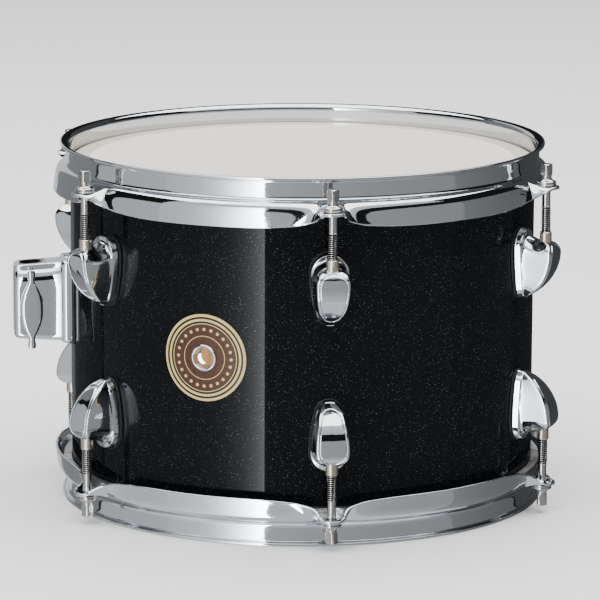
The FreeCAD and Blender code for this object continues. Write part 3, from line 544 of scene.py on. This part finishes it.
def hoop_section(turn_deg):
    """Middle line of the pressed sheet, from the flange's edge to the skirt's edge."""
    wall = HOOP_INNER + SHEET / 2
    top = HALF - SHEET / 2 - 0.02
    fold = (FLANGE_EDGE - 1.0, top)
    line = [(FLANGE_EDGE, top), fold]
    line += bezier([fold, (130.6, top), (wall, top + 0.05), (wall, top - 2.2)], 6)
    line += [(wall, 93.0), (wall, 89.5)]
    shoulder = (130.5, 84.55)
    line += bezier([(wall, 89.5), (wall, 86.9), (wall + 0.15, 85.6), shoulder], 7)
    edge = skirt_edge(turn_deg)
    plain = FLARE_RADIUS[-1]
    ear = min(max((edge[0] - plain) / (EAR_END - plain), 0.0), 1.0)
    first = (134.5 - 1.6 * ear, 83.0 - 0.6 * ear)
    second = (133.7 + 4.6 * ear, 79.0 + 1.75 * ear)
    line += bezier([shoulder, first, second, edge], 20)
    return line


def hoop_turns():
    """Angles around one station, close together where the ear's sides are steep."""
    spans = ((0, 1.8, 8), (1.8, 4.4, 30), (4.4, 9.0, 14), (9.0, STEP / 2, 14))
    steps = np.concatenate([[0.0]] + [np.linspace(*span)[1:] for span in spans])
    return np.concatenate([-steps[::-1], steps[1:-1]])


def build_hoop(side, lower):
    """Pressed hoop with six ears. The lower one keeps the hole that it was hung by for plating."""
    rings = []
    for station in range(STATIONS):
        for turn_deg in hoop_turns():
            turn = math.radians(station * STEP + turn_deg)
            ring = [(r * math.sin(turn), -r * math.cos(turn), h) for r, h in hoop_section(turn_deg)]
            rings.append(ring)
    rings = np.asarray(rings)
    columns, rows = rings.shape[:2]
    faces = []
    for column in range(columns):
        base, beside = column * rows, ((column + 1) % columns) * rows
        for row in range(rows - 1):
            faces.append((base + row, beside + row, beside + row + 1, base + row + 1))
    points, matrix = rings.reshape(-1, 3), local_matrix(lower=lower)
    hoop = new_object(f"{side}_counter_hoop", points, faces, matrix, MATERIALS["chrome"])
    add_modifier(hoop, "SOLIDIFY", thickness=SHEET * MM, offset=0.0, use_even_offset=False)
    bake_modifiers(hoop)
    bevel_edges(hoop, 0.45, 50.0)
    cutters = []
    for station in range(STATIONS):
        matrix = local_matrix(station * STEP, lower)
        cutters.append(cutter_cylinder(EAR_HOLE, 76.0, 84.0, matrix, centre=(0, -ROD_CIRCLE, 0)))
    if lower:
        matrix, centre = local_matrix(PLATING_DEG, lower), (0, 0, HALF - PLATING_DROP)
        cutters.append(cutter_cylinder(PLATING_HOLE, -135.0, -120.0, matrix, centre, "Y"))
    drill(hoop, *cutters)
    smooth_all(hoop, 60.0)
    finish_piece(hoop, "drum", "chrome", f"{side}_hoop")


# ---------------------------------------------------------------- tension rods

WASHER_INNER, WASHER_OUTER, WASHER_THICK = 2.9, 5.3, 1.0
SEAT_GAP = 0.02
EAR_TOP = HALF - 15.8
FLANGE_LOW = EAR_TOP + WASHER_THICK
HEAD_LOW = FLANGE_LOW + 3.4
HEAD_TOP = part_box("batter_rod_1")[1].z / MM - HALF
THREAD_TOP = FLANGE_LOW - 12.7
THREAD_END = FLANGE_LOW - 40.7
THREAD_ROOT, THREAD_CREST = 2.0, 2.65
PITCH = 25.4 / 24
HEAD_HALF, HEAD_CORNER, HEAD_POWER = 2.6, 3.15, 18.0
# The square heads stop at different turns, as they do on a tuned drum.
HEAD_TURN, HEAD_TURN_STEP = 38.6, 26
NUT_BOTTOM, NUT_TOP = 43.5, 56.7


def thread_rings(low, high, root, crest, count=30, samples=8):
    """Rings of a right-hand thread, run out to its root at the top."""
    turn = np.linspace(0, 2 * math.pi, count, endpoint=False)
    rings = []
    steps = int((high - low) / PITCH * samples)
    for step in range(steps + 1):
        height = low + (high - low) * step / steps
        phase = (height / PITCH - turn / (2 * math.pi)) % 1.0
        ridge = np.clip(2.2 * (1 - np.abs(2 * phase - 1)) - 0.55, 0, 1)
        fade = min((high - height) / (0.7 * PITCH), 1.0)
        rings.append(circle_ring(root + (crest - root) * ridge * fade, height, count))
    return rings


def rod_parts(head_turn_deg):
    """Everything on a rod's own axis: thread, shank, flange, cone and square head."""
    thread_low = NUT_TOP - 4.5
    shaft = [(0.6, THREAD_END), (1.6, THREAD_END), (2.1, THREAD_END + 0.6), (2.1, thread_low + 0.4)]
    lower = lathe(shaft, count=30, closed=False, cap_first=True)
    thread = loft(thread_rings(thread_low, THREAD_TOP, THREAD_ROOT, THREAD_CREST))
    shank = [(THREAD_ROOT, -0.5), (2.25, 0.0), (2.5, 0.15), (2.5, 0.5), (2.28, 0.75)]
    flange = [(2.28, 0.0), (4.7, 0.0), (5.0, 0.15), (5.12, 0.45), (5.12, 0.95), (4.95, 1.3)]
    flange += [(4.4, 1.6), (3.5, 1.9), (3.0, 2.4), (2.8, 3.0)]
    profile = [(radius, THREAD_TOP + rise) for radius, rise in shank]
    profile += [(radius, FLANGE_LOW + rise) for radius, rise in flange]
    body = lathe(profile, count=48, closed=False)
    turn = np.linspace(0, 2 * math.pi, 64, endpoint=False)
    folded = turn - math.radians(head_turn_deg)
    bulk = np.abs(np.cos(folded)) ** HEAD_POWER + np.abs(np.sin(folded)) ** HEAD_POWER
    square = np.minimum(HEAD_HALF / bulk ** (1 / HEAD_POWER), HEAD_CORNER)
    rings = [circle_ring(2.7, FLANGE_LOW + 2.7, 64)]
    for height in np.linspace(HEAD_LOW - 0.3, HEAD_LOW + 3.0, 12):
        cone = 2.62 + 0.30 * max(height - HEAD_LOW - 0.2, 0.0)
        rings.append(circle_ring(np.minimum(square, cone), height, 64))
    for drop, cone in ((0.7, HEAD_CORNER), (0.4, 2.9), (0.2, 2.65), (0.06, 2.35)):
        rings.append(circle_ring(np.minimum(square, cone), HEAD_TOP - drop, 64))
    rings.append(circle_ring(np.minimum(square, 2.1) * 0.96, HEAD_TOP, 64))
    head = loft(rings, cap_last=True)
    return joined([lower, thread, body, head])


def build_rod(side, lower, station):
    """One rod and its washer, at their station."""
    number = station + 1
    matrix = local_matrix(station * STEP, lower)
    axis = (0, -ROD_CIRCLE, 0)
    points, faces = shifted(rod_parts(HEAD_TURN + HEAD_TURN_STEP * station), axis)
    rod = new_object(f"{side}_tension_rod_{number}", points, faces, matrix, MATERIALS["steel"])
    # Painted shade: the thread's roots are marked to be drawn near black in the steel.
    reach = np.hypot(points[:, 0], points[:, 1] + ROD_CIRCLE)
    cut = (points[:, 2] > NUT_TOP - 4.0) & (points[:, 2] < THREAD_TOP - 0.4)
    painted_shade = np.where(cut, np.clip((2.6 - reach) / 0.35, 0, 1), 0).astype(np.float32)
    paint_shade(rod, painted_shade)
    smooth_by_angle(rod, 40.0)
    finish_piece(rod, f"{side}_rod_{number}", "steel", f"{side}_rod_{number}")
    inner, outer, seat = WASHER_INNER, WASHER_OUTER, FLANGE_LOW - SEAT_GAP
    profile = [(inner, EAR_TOP + 0.2), (inner + 0.2, EAR_TOP), (outer - 0.25, EAR_TOP)]
    profile += [(outer, EAR_TOP + 0.25), (outer, seat - 0.3), (outer - 0.3, seat)]
    profile += [(inner + 0.2, seat), (inner, seat - 0.2)]
    points, faces = shifted(lathe(profile, count=48), axis)
    washer = new_object(f"{side}_rod_washer_{number}", points, faces, matrix, MATERIALS["steel"])
    smooth_by_angle(washer, 50.0)
    finish_piece(washer, f"{side}_washer_{number}", "steel", f"{side}_washer_{number}")


# ---------------------------------------------------------------- lugs


def egg(half, centre, tip, tip_centre):
    """Outline of a lug in front view, as (across, up) points from the right side round the top."""
    drop = centre - tip_centre
    flank = (half**2 + drop**2 - tip**2) / (2 * (half - tip))
    lean = math.asin(drop / (flank - tip))
    outline = []

    def sweep(x, y, radius, start, end, count):
        for step in range(count):
            turn = start + (end - start) * step / count
            outline.append((x + radius * math.cos(turn), y + radius * math.sin(turn)))

    sweep(0, centre, half, 0, math.pi, 24)
    sweep(flank - half, centre, flank, math.pi, math.pi + lean, 14)
    sweep(0, tip_centre, tip, math.pi + lean, 2 * math.pi - lean, 12)
    sweep(half - flank, centre, flank, 2 * math.pi - lean, 2 * math.pi, 14)
    return np.array(outline)


FACE_CENTRE, FACE_RADIUS, FACE_TIP, FACE_FRONT = 46.0, 28.2, 131.9, 148.2
FOOT_BACK, FOOT_FRONT = 126.95, 131.5
NUT_HOLE = 3.4
# The point in front view that each ring of a lug shrinks towards.
LUG_POLE = np.array([0.0, 38.0])


def face_radius(height):
    """Distance of the lug's face from the drum's axis: a long curve with a rolled lip on top."""
    height = np.asarray(height, float)
    below = np.clip(FACE_CENTRE - height, 0, FACE_RADIUS - 0.5)
    above = np.clip(height - FACE_CENTRE, 0, None)
    curve = FACE_FRONT - FACE_RADIUS + np.sqrt(FACE_RADIUS**2 - below**2) - 0.125 * above**2
    return np.maximum(curve, FACE_TIP)


def foot_radius(height):
    """Distance of the foot's front from the drum's axis. It thins out under the lug's tip."""
    return np.minimum(FOOT_FRONT, face_radius(height) - 0.2)


def lug_rings():
    """Rings from the back of the foot, over its edge, up the sides and across the face."""
    foot = egg(10.65, 47.9, 7.65, 27.0)
    body = egg(8.85, 44.1, 6.15, 26.1)
    rings = []

    def add(outline, scale, radius):
        flat = LUG_POLE + (outline - LUG_POLE) * np.reshape(scale, (-1, 1))
        rings.append(np.column_stack([flat[:, 0], -radius, flat[:, 1]]))

    ones = np.ones(len(foot))
    front = foot_radius(foot[:, 1])
    slope = ((1.0, 0.0), (0.99, 0.15), (0.965, 0.5), (0.945, 0.85), (0.935, 0.96), (0.925, 1.0))
    for scale, share in slope:
        add(foot, scale * ones, FOOT_BACK + (front - FOOT_BACK) * share)
    up = body[:, 1]
    face = face_radius(up)
    root = foot_radius(up) + 0.05
    side = np.maximum(face - 1.9, root + 0.1)
    high = np.clip((up - 46.5) / 6.0, 0, 1) ** 1.5
    wide = np.clip((up - 24.0) / 10.0, 0, 1)
    flares = ((0.085, 0.09, 0.02), (0.07, 0.04, 0.08), (0.055, 0.012, 0.2), (0.036, 0.0, 0.45))
    flares += ((0.018, 0.0, 0.7), (0.0, 0.0, 1.0))
    for flare, rise, reach in flares:
        add(body, 1 + flare * wide + rise * high, root + (side - root) * reach)
    # How far each ring lies under the face: the rounded rim, the bead's groove, then the face itself.
    dips = ((0.994, 1.3), (0.972, 0.8), (0.935, 0.52), (0.86, 0.34))
    dips += ((0.838, 0.42), (0.826, 0.8), (0.812, 0.8), (0.80, 0.36))
    dips += ((0.77, 0.16), (0.70, 0.08), (0.55, 0.03), (0.4, 0.0), (0.24, 0.0), (0.08, 0.0))
    for scale, dip in dips:
        flat_up = LUG_POLE[1] + (up - LUG_POLE[1]) * scale
        add(body, scale * ones, np.maximum(face_radius(flat_up) - dip, foot_radius(flat_up) + 0.2))
    return rings


def saddle(points):
    """Hollow the lug's top slightly between its lip and its foot."""
    out = -points[:, 1]
    weight = np.exp(-(((out - 138.5) / 3.6) ** 2)) * np.clip((points[:, 2] - 43.0) / 7.0, 0, 1)
    points[:, 2] -= 1.3 * weight
    return points


def build_lug(side, lower, station):
    """One cast lug, with the hole in its top that the nut stands out of."""
    points, faces = loft(lug_rings(), cap_first=True, cap_last=True)
    matrix = local_matrix(station * STEP, lower)
    name = f"{side}_lug_casting_{station + 1}"
    lug = new_object(name, saddle(points), faces, matrix, MATERIALS["chrome"])
    add_modifier(lug, "SUBSURF", levels=1, render_levels=1)
    bake_modifiers(lug)
    drill(lug, cutter_cylinder(NUT_HOLE, 40.0, 60.0, matrix, centre=(0, -ROD_CIRCLE, 0)))
    smooth_by_angle(lug, 60.0)
    finish_piece(lug, "drum", "chrome", f"{side}_lug_{station + 1}")


def build_nuts():
    """The sleeves that stand out of the lugs, one island each in one piece."""
    bore, outer = 2.75, 3.28
    profile = [(bore, NUT_BOTTOM), (outer, NUT_BOTTOM), (outer, NUT_TOP - 0.35)]
    profile += [(3.0, NUT_TOP), (2.85, NUT_TOP), (bore, NUT_TOP - 0.15)]
    points, faces = shifted(lathe(profile, count=40), (0, -ROD_CIRCLE, 0))
    parts = []
    for _, lower in HALVES:
        for station in range(STATIONS):
            matrix = np.array(local_matrix(station * STEP, lower))
            placed = points @ matrix[:3, :3].T + matrix[:3, 3]
            parts.append((placed, faces))
    points, faces = joined(parts)
    nuts = new_object("nut_sleeves", points, faces, Matrix.Identity(4), MATERIALS["nickel"])
    smooth_by_angle(nuts)
    finish_piece(nuts, "drum", "nickel", "lug_nuts")


# ---------------------------------------------------------------- badge and vent


def build_badge():
    """Thin plate bent round the shell. Its UV holds millimetres from its centre."""
    outer, hole, rim = BADGE_OUTER, VENT_HOLE, BADGE_THICK
    count = 160
    turn = np.linspace(0, 2 * math.pi, count, endpoint=False)
    steps = [(hole, 0.0), (hole, rim), (9.0, rim), (12.0, rim), (15.0, rim), (18.0, rim), (21.0, rim)]
    steps += [(outer - 0.25, rim), (outer - 0.06, rim - 0.1), (outer, rim - 0.25), (outer, 0.02)]
    rings, flat = [], []
    for reach, lift in steps:
        across, up = reach * np.cos(turn), reach * np.sin(turn)
        radius = WRAP_OUTER + lift
        bend = across / WRAP_OUTER
        rings.append(np.column_stack([radius * np.sin(bend), -radius * np.cos(bend), up]))
        flat.append(np.column_stack([across, up]))
    points, faces = loft(rings, closed=True)
    badge = new_object("round_badge", points, faces, local_matrix(BADGE_DEG), MATERIALS["badge_enamel"])
    flat = np.concatenate(flat)
    layer = badge.data.uv_layers.new(name="UVMap")
    for loop in badge.data.loops:
        layer.data[loop.index].uv = flat[loop.vertex_index]
    smooth_by_angle(badge)
    finish_piece(badge, "drum", "badge_enamel", "badge")


def build_vent():
    """Rolled grommet through the badge, wrap and shell."""
    seat, inner = WRAP_OUTER + BADGE_THICK, 119.7
    profile = [(5.5, inner - 0.6), (5.9, inner - 1.15), (6.6, inner - 1.15), (7.1, inner - 0.6)]
    profile += [(7.2, inner), (6.2, inner), (6.2, seat), (7.2, seat + 0.02), (7.2, seat + 0.35)]
    profile += [(6.95, seat + 0.85), (6.5, seat + 1.15), (6.05, seat + 1.15), (5.65, seat + 0.85)]
    profile += [(5.5, seat + 0.3)]
    points, faces = lathe(profile, count=72)
    points = points[:, [0, 2, 1]] * np.array([1, -1, 1])
    faces = [tuple(reversed(face)) for face in faces]
    vent = new_object("vent_ring", points, faces, local_matrix(BADGE_DEG), MATERIALS["chrome"])
    smooth_by_angle(vent, 50.0)
    finish_piece(vent, "drum", "chrome", "vent_grommet")


# ---------------------------------------------------------------- holder bracket

BORE_CIRCLE = -MOUNTS["holder_rod_bore"]["pos_m"][0] / MM
BORE_RADIUS = MOUNTS["holder_rod_bore"]["dims"]["r_mm"]
BRACKET_MIDDLE = round(middle("holder_bracket", 2) - HALF, 1)
BOLT_HEIGHT = round(middle("wing_bolt", 2) - HALF, 1)
PLATE_FRONT, BLOCK_END = 132.2, 158.2


def rounded_box(left, right, low, high, corners, steps=7):
    """A closed section in (across, up); corners gives the radius at each, from low right round."""
    spots = [(right, low, -90), (right, high, 0), (left, high, 90), (left, low, 180)]
    section = []
    for (x, y, start), radius in zip(spots, corners):
        centre_x = x - math.copysign(radius, x - (left + right) / 2)
        centre_y = y - math.copysign(radius, y - (low + high) / 2)
        for step in range(steps):
            turn = math.radians(start + 90 * step / (steps - 1))
            section.append((centre_x + radius * math.cos(turn), centre_y + radius * math.sin(turn)))
    return np.array(section)


def block_section(left, right, low, high):
    """The block's section: its front swells out below a narrow lip along the top."""
    section = rounded_box(left, right, low, high, [3.4, 0.7, 2.4, 2.4], steps=9)
    swell = [(3.6, 0.0), (3.6, 2.6), (3.5, 3.1), (3.0, 3.6), (2.1, 4.8), (1.15, 7.0), (0.45, 9.6)]
    swell += [(0.08, 12.2), (0.0, 15.0)]
    front = [(right - back, high - drop) for back, drop in reversed(swell[1:])]
    lip = section[9:18] - np.array([swell[0][0], 0.0])
    return np.concatenate([section[:9], front, lip, section[18:]])


def build_bracket():
    """Cast receiver: curved plate, and a block whose front rolls over at its upper edge."""
    rings = []
    for out, half_width, half_height, corner in (
        (127.45, 14.0, 23.0, 3.0),
        (130.6, 14.0, 23.0, 3.0),
        (131.6, 13.7, 22.7, 2.8),
        (PLATE_FRONT, 12.9, 21.9, 2.2),
    ):
        low, high = BRACKET_MIDDLE - half_height, BRACKET_MIDDLE + half_height
        section = rounded_box(-half_width, half_width, low, high, [corner] * 4, steps=11)
        rings.append((section, out))
    run = [(132.25, -0.4), (133.0, 0.0), (140.0, 0.0), (150.0, 0.0)]
    run += [(155.4, 0.0), (157.1, 0.5), (157.9, 1.4), (BLOCK_END - 0.02, 2.6)]
    for out, inset in run:
        fall = (out - PLATE_FRONT) / (BLOCK_END - PLATE_FRONT)
        half_height = 21.6 - 1.6 * fall - inset
        low, high = BRACKET_MIDDLE - half_height, BRACKET_MIDDLE + half_height
        section = block_section(-9.5 + inset, 12.5 - inset, low, high)
        rings.append((section, out))
    loops = []
    for section, out in rings:
        depth = np.full(len(section), out)
        if out < PLATE_FRONT:
            depth = np.sqrt(out**2 - section[:, 0] ** 2)
        loops.append(np.column_stack([section[:, 0], -depth, section[:, 1]]))
    points, faces = loft(loops, cap_first=True, cap_last=True)
    matrix = local_matrix(BRACKET_DEG)
    block = new_object("receiver_block", points, faces, matrix, MATERIALS["chrome"])
    bore = cutter_cylinder(BORE_RADIUS, -30.0, 60.0, matrix, centre=(0, -BORE_CIRCLE, 0))
    corners = ((-6, -9), (6, -9), (6, 9), (-6, 9))
    ends = [[(x, y - BORE_CIRCLE, z + BOLT_HEIGHT) for y, z in corners] for x in (4.4, 10.4)]
    slot_points, slot_faces = loft(ends, cap_first=True, cap_last=True)
    slot = new_object("cutter_slot", slot_points, slot_faces, matrix, MATERIALS["chrome"])
    tapped = cutter_cylinder(4.0, 9.0, 20.0, matrix, centre=(0, -BORE_CIRCLE, BOLT_HEIGHT), axis="X")
    drill(block, bore, slot, tapped)
    bevel_edges(block, 0.5, 40.0)
    # Painted shade: the bore's wall is marked to be drawn near black, with a rougher gloss, in the chrome.
    axis = (matrix @ Vector((0, -BORE_CIRCLE, 0))).xy
    reach = (BORE_RADIUS + 0.1) * MM
    paint_shade(block, [float((v.co.xy - axis).length < reach) for v in block.data.vertices])
    smooth_all(block, 40.0)
    finish_piece(block, "drum", "chrome", "holder_bracket")


def build_wing_bolt():
    """Hub, shank and two bevelled wings that narrow to a neck before their knobs."""
    half = [(-21.5, 0.4), (-21.25, 1.6), (-20.6, 2.1), (-19.4, 2.2), (-18.0, 2.0), (-16.6, 1.7)]
    half += [(-15.2, 1.75), (-13.6, 2.4), (-11.4, 3.5), (-8.8, 4.7), (-6.0, 5.55), (-3.2, 6.05), (0.0, 6.2)]
    outline = half + [(-rise, width) for rise, width in reversed(half[:-1])]
    turn = np.linspace(0, 2 * math.pi, 40, endpoint=False)
    middle = 17.3
    rings = []
    for rise, width in outline:
        thick = 1.9 + 0.9 * (1 - abs(rise) / 12) if abs(rise) < 12 else min(width, 1.9)
        power = 4.5 if abs(rise) < 14 else 2.6
        fold = (np.abs(np.cos(turn)) ** power + np.abs(np.sin(turn)) ** power) ** (-1 / power)
        x = middle + thick * fold * np.sin(turn)
        y = -BORE_CIRCLE + width * fold * np.cos(turn)
        rings.append(np.column_stack([x, y, np.full(len(turn), BOLT_HEIGHT + rise)]))
    wings = loft(rings, cap_first=True, cap_last=True)
    steps = [(0.5, 8.9), (3.2, 8.9), (3.95, 9.7), (3.95, 13.8), (4.9, 13.8), (5.3, 14.2), (5.3, 15.6)]
    steps += [(4.9, 17.0), (0.5, 17.4)]
    hub_points, hub_faces = lathe(steps, count=56, closed=False, cap_first=True, cap_last=True)
    hub_points = hub_points[:, [2, 0, 1]] + np.array([0, -BORE_CIRCLE, BOLT_HEIGHT])
    points, faces = joined([wings, (hub_points, hub_faces)])
    bolt = new_object("wing_screw", points, faces, local_matrix(BRACKET_DEG), MATERIALS["chrome"])
    smooth_by_angle(bolt, 50.0)
    finish_piece(bolt, "wing_bolt", "chrome", "wing_bolt")


# ---------------------------------------------------------------- studio

# The camera was fitted to the outlines of both rims. Its front is turned a little from rod 1.
FRONT_DEG = -6.39
CAMERA_DISTANCE = 2.1458
CAMERA_HEIGHT = 0.5315
CAMERA_YAW = 0.0005
CAMERA_PITCH = 0.1961
CAMERA_ROLL = 0.0032
CAMERA_LENS = 238.96
# Radius of the screens that polished surfaces reflect, and their rows below the drum: height, gain.
SCREEN = 1.1
LOW_ROWS = ((-1.2, 1.6), (-0.9, 1.6), (-0.3, 1.0))


def add_camera():
    """Camera at the front, turned a little from rod 1, looking slightly down."""
    data = bpy.data.cameras.new("camera")
    data.lens = CAMERA_LENS
    data.sensor_width = 36.0
    camera = bpy.data.objects.new("camera", data)
    bpy.context.scene.collection.objects.link(camera)
    turn = Matrix.Rotation(math.radians(FRONT_DEG), 4, "Z")
    tilt = Matrix.Rotation(math.pi / 2 - CAMERA_PITCH, 4, "X") @ Matrix.Rotation(CAMERA_ROLL, 4, "Z")
    spot = turn @ Vector((0, -CAMERA_DISTANCE, CAMERA_HEIGHT))
    pan = Matrix.Rotation(CAMERA_YAW, 4, "Z")
    camera.matrix_world = Matrix.Translation(spot) @ turn @ pan @ tilt
    bpy.context.scene.camera = camera


def add_softbox(name, azimuth_deg, elevation_deg, distance, width, height, power, target):
    """A rectangular lamp at an azimuth from the camera's side, aimed at a point."""
    data = bpy.data.lights.new(name, "AREA")
    data.shape = "RECTANGLE"
    data.size, data.size_y = width, height
    data.energy = power
    lamp = bpy.data.objects.new(name, data)
    bpy.context.scene.collection.objects.link(lamp)
    turn, rise = math.radians(azimuth_deg + FRONT_DEG), math.radians(elevation_deg)
    flat, high = distance * math.cos(rise), distance * math.sin(rise)
    spot = Vector((flat * math.sin(turn), -flat * math.cos(turn), high)) + Vector(target)
    aim = (Vector(target) - spot).to_track_quat("-Z", "Y")
    lamp.matrix_world = Matrix.Translation(spot) @ aim.to_matrix().to_4x4()
    lamp.visible_camera = False


def add_floor():
    """A pale floor and a low pale wall all round it."""
    material = new_material("floor", (0.92, 0.92, 0.92), 0.9)
    n = Nodes(material)
    n.colour(n.mix(n.noise(3.0, 2.0), (0.91, 0.91, 0.91, 1), (0.94, 0.94, 0.94, 1)))
    count, reach = 128, 6.0
    rings = [circle_ring(radius, 0.0, count) for radius in (0.5, 2.0, reach - 0.8)]
    for step in range(1, 9):
        turn = math.radians(90 * step / 8)
        rings.append(circle_ring(reach - 0.8 + 0.8 * math.sin(turn), 0.8 - 0.8 * math.cos(turn), count))
    rings.append(circle_ring(reach, 0.95, count))
    points, faces = loft(rings, cap_first=True)
    faces = [tuple(reversed(face)) for face in faces]
    floor = new_object("floor", points, faces, Matrix.Identity(4), material)
    floor.visible_glossy = False


def add_glimmer():
    """The daylight that two coated heads let into the drum, which its vent shows."""
    data = bpy.data.lights.new("glimmer", "POINT")
    data.energy = 0.35
    data.shadow_soft_size = 0.03
    data.color = (1.0, 0.9, 0.8)
    lamp = bpy.data.objects.new("glimmer", data)
    bpy.context.scene.collection.objects.link(lamp)
    lamp.location = (0, 0, HALF * MM)


def light_world():
    """A dim studio overhead, so that plating has something dark to show."""
    world = bpy.data.worlds.new("studio")
    bpy.context.scene.world = world
    world.use_nodes = True
    world.node_tree.nodes["Background"].inputs["Color"].default_value = (0.9, 0.95, 1.0, 1)
    world.node_tree.nodes["Background"].inputs["Strength"].default_value = 0.015


def hide_screen(thing):
    """Keep a screen out of sight and out of the light, so that only reflections show it."""
    thing.visible_camera = False
    thing.visible_diffuse = False
    thing.visible_shadow = False


def glow_material(name, attribute=None, glow=1.0):
    """Plain light of one strength, or of the strength that a mesh attribute holds."""
    material = bpy.data.materials.new(name)
    material.use_nodes = True
    tree = material.node_tree
    tree.nodes.clear()
    light = tree.nodes.new("ShaderNodeEmission")
    light.inputs["Color"].default_value = (0.93, 0.97, 1.0, 1)
    light.inputs["Strength"].default_value = glow
    if attribute:
        level = tree.nodes.new("ShaderNodeAttribute")
        level.attribute_name = attribute
        tree.links.new(level.outputs["Fac"], light.inputs["Strength"])
    out = tree.nodes.new("ShaderNodeOutputMaterial")
    tree.links.new(light.outputs[0], out.inputs["Surface"])
    return material


def add_low_screen(depth, glow):
    """A grey disc far below the floor's level, seen only in polished undersides."""
    points, faces = loft([circle_ring(radius, -depth, 48) for radius in (0.4, SCREEN)], cap_first=True)
    material = glow_material("low_screen", glow=glow)
    hide_screen(new_object("low_screen", points, faces, Matrix.Identity(4), material))


def add_panel(name, near_deg, far_deg, rows, near_glow, far_glow, fall_deg=40.0):
    """A curved glowing screen that only polished surfaces show. Its glow falls from end to end."""
    share = np.linspace(0, 1, 49)
    turn = np.radians(near_deg + (far_deg - near_deg) * share + FRONT_DEG)
    values = far_glow + (near_glow - far_glow) * np.exp(-abs(far_deg - near_deg) * share / fall_deg)
    points, glow = [], []
    for height, gain in rows:
        points += [(SCREEN * math.sin(a), -SCREEN * math.cos(a), height) for a in turn]
        glow.append(values * gain)
    wide = len(turn)
    faces = [(k, k + 1, k + 1 + wide, k + wide) for k in range((len(rows) - 1) * wide) if (k + 1) % wide]
    panel = new_object(name, points, faces, Matrix.Identity(4), glow_material(name, "glow"))
    level = panel.data.attributes.new("glow", "FLOAT", "POINT")
    level.data.foreach_set("value", np.concatenate(glow).astype(np.float32))
    hide_screen(panel)


def light_studio():
    """One wide lamp overhead, and screens all round that reach below the floor's level."""
    light_world()
    add_softbox("overhead", 0, 90, 2.6, 4.4, 4.4, 305, (0, 0, 0))
    add_panel("left_screen", -17, -64, (*LOW_ROWS, (1.2, 1.0)), 20.0, 0.85, 7.0)
    add_panel("left_gap", -64, -110, (*LOW_ROWS, (0.45, 1.0)), 0.75, 0.6)
    add_panel("left_side", -112, -150, (*LOW_ROWS, (1.0, 1.0)), 0.3, 0.3)
    add_panel("left_back", -150, -168.5, (*LOW_ROWS, (1.0, 1.0)), 0.9, 0.9)
    add_panel("front_screen", -17, 74, (*LOW_ROWS, (0.45, 1.0)), 0.66, 0.36)
    add_panel("right_gap", 74, 122, (*LOW_ROWS, (0.45, 1.0)), 0.28, 0.12)
    add_panel("right_side", 124, 170, (*LOW_ROWS, (1.0, 1.0)), 0.08, 0.08)
    add_panel("canopy", -60, 70, ((0.78, 0.8), (1.5, 1.2)), 1.0, 1.0)
    add_low_screen(1.2, 1.0)
    add_glimmer()


# ---------------------------------------------------------------- build

dress_cad()
add_camera()
add_floor()
light_studio()
build_wrap()
for half_name, is_lower in HALVES:
    build_film(half_name, is_lower)
    build_hoop(half_name, is_lower)
    for spot in range(STATIONS):
        build_rod(half_name, is_lower, spot)
        build_lug(half_name, is_lower, spot)
build_nuts()
build_badge()
build_vent()
build_bracket()
build_wing_bolt()
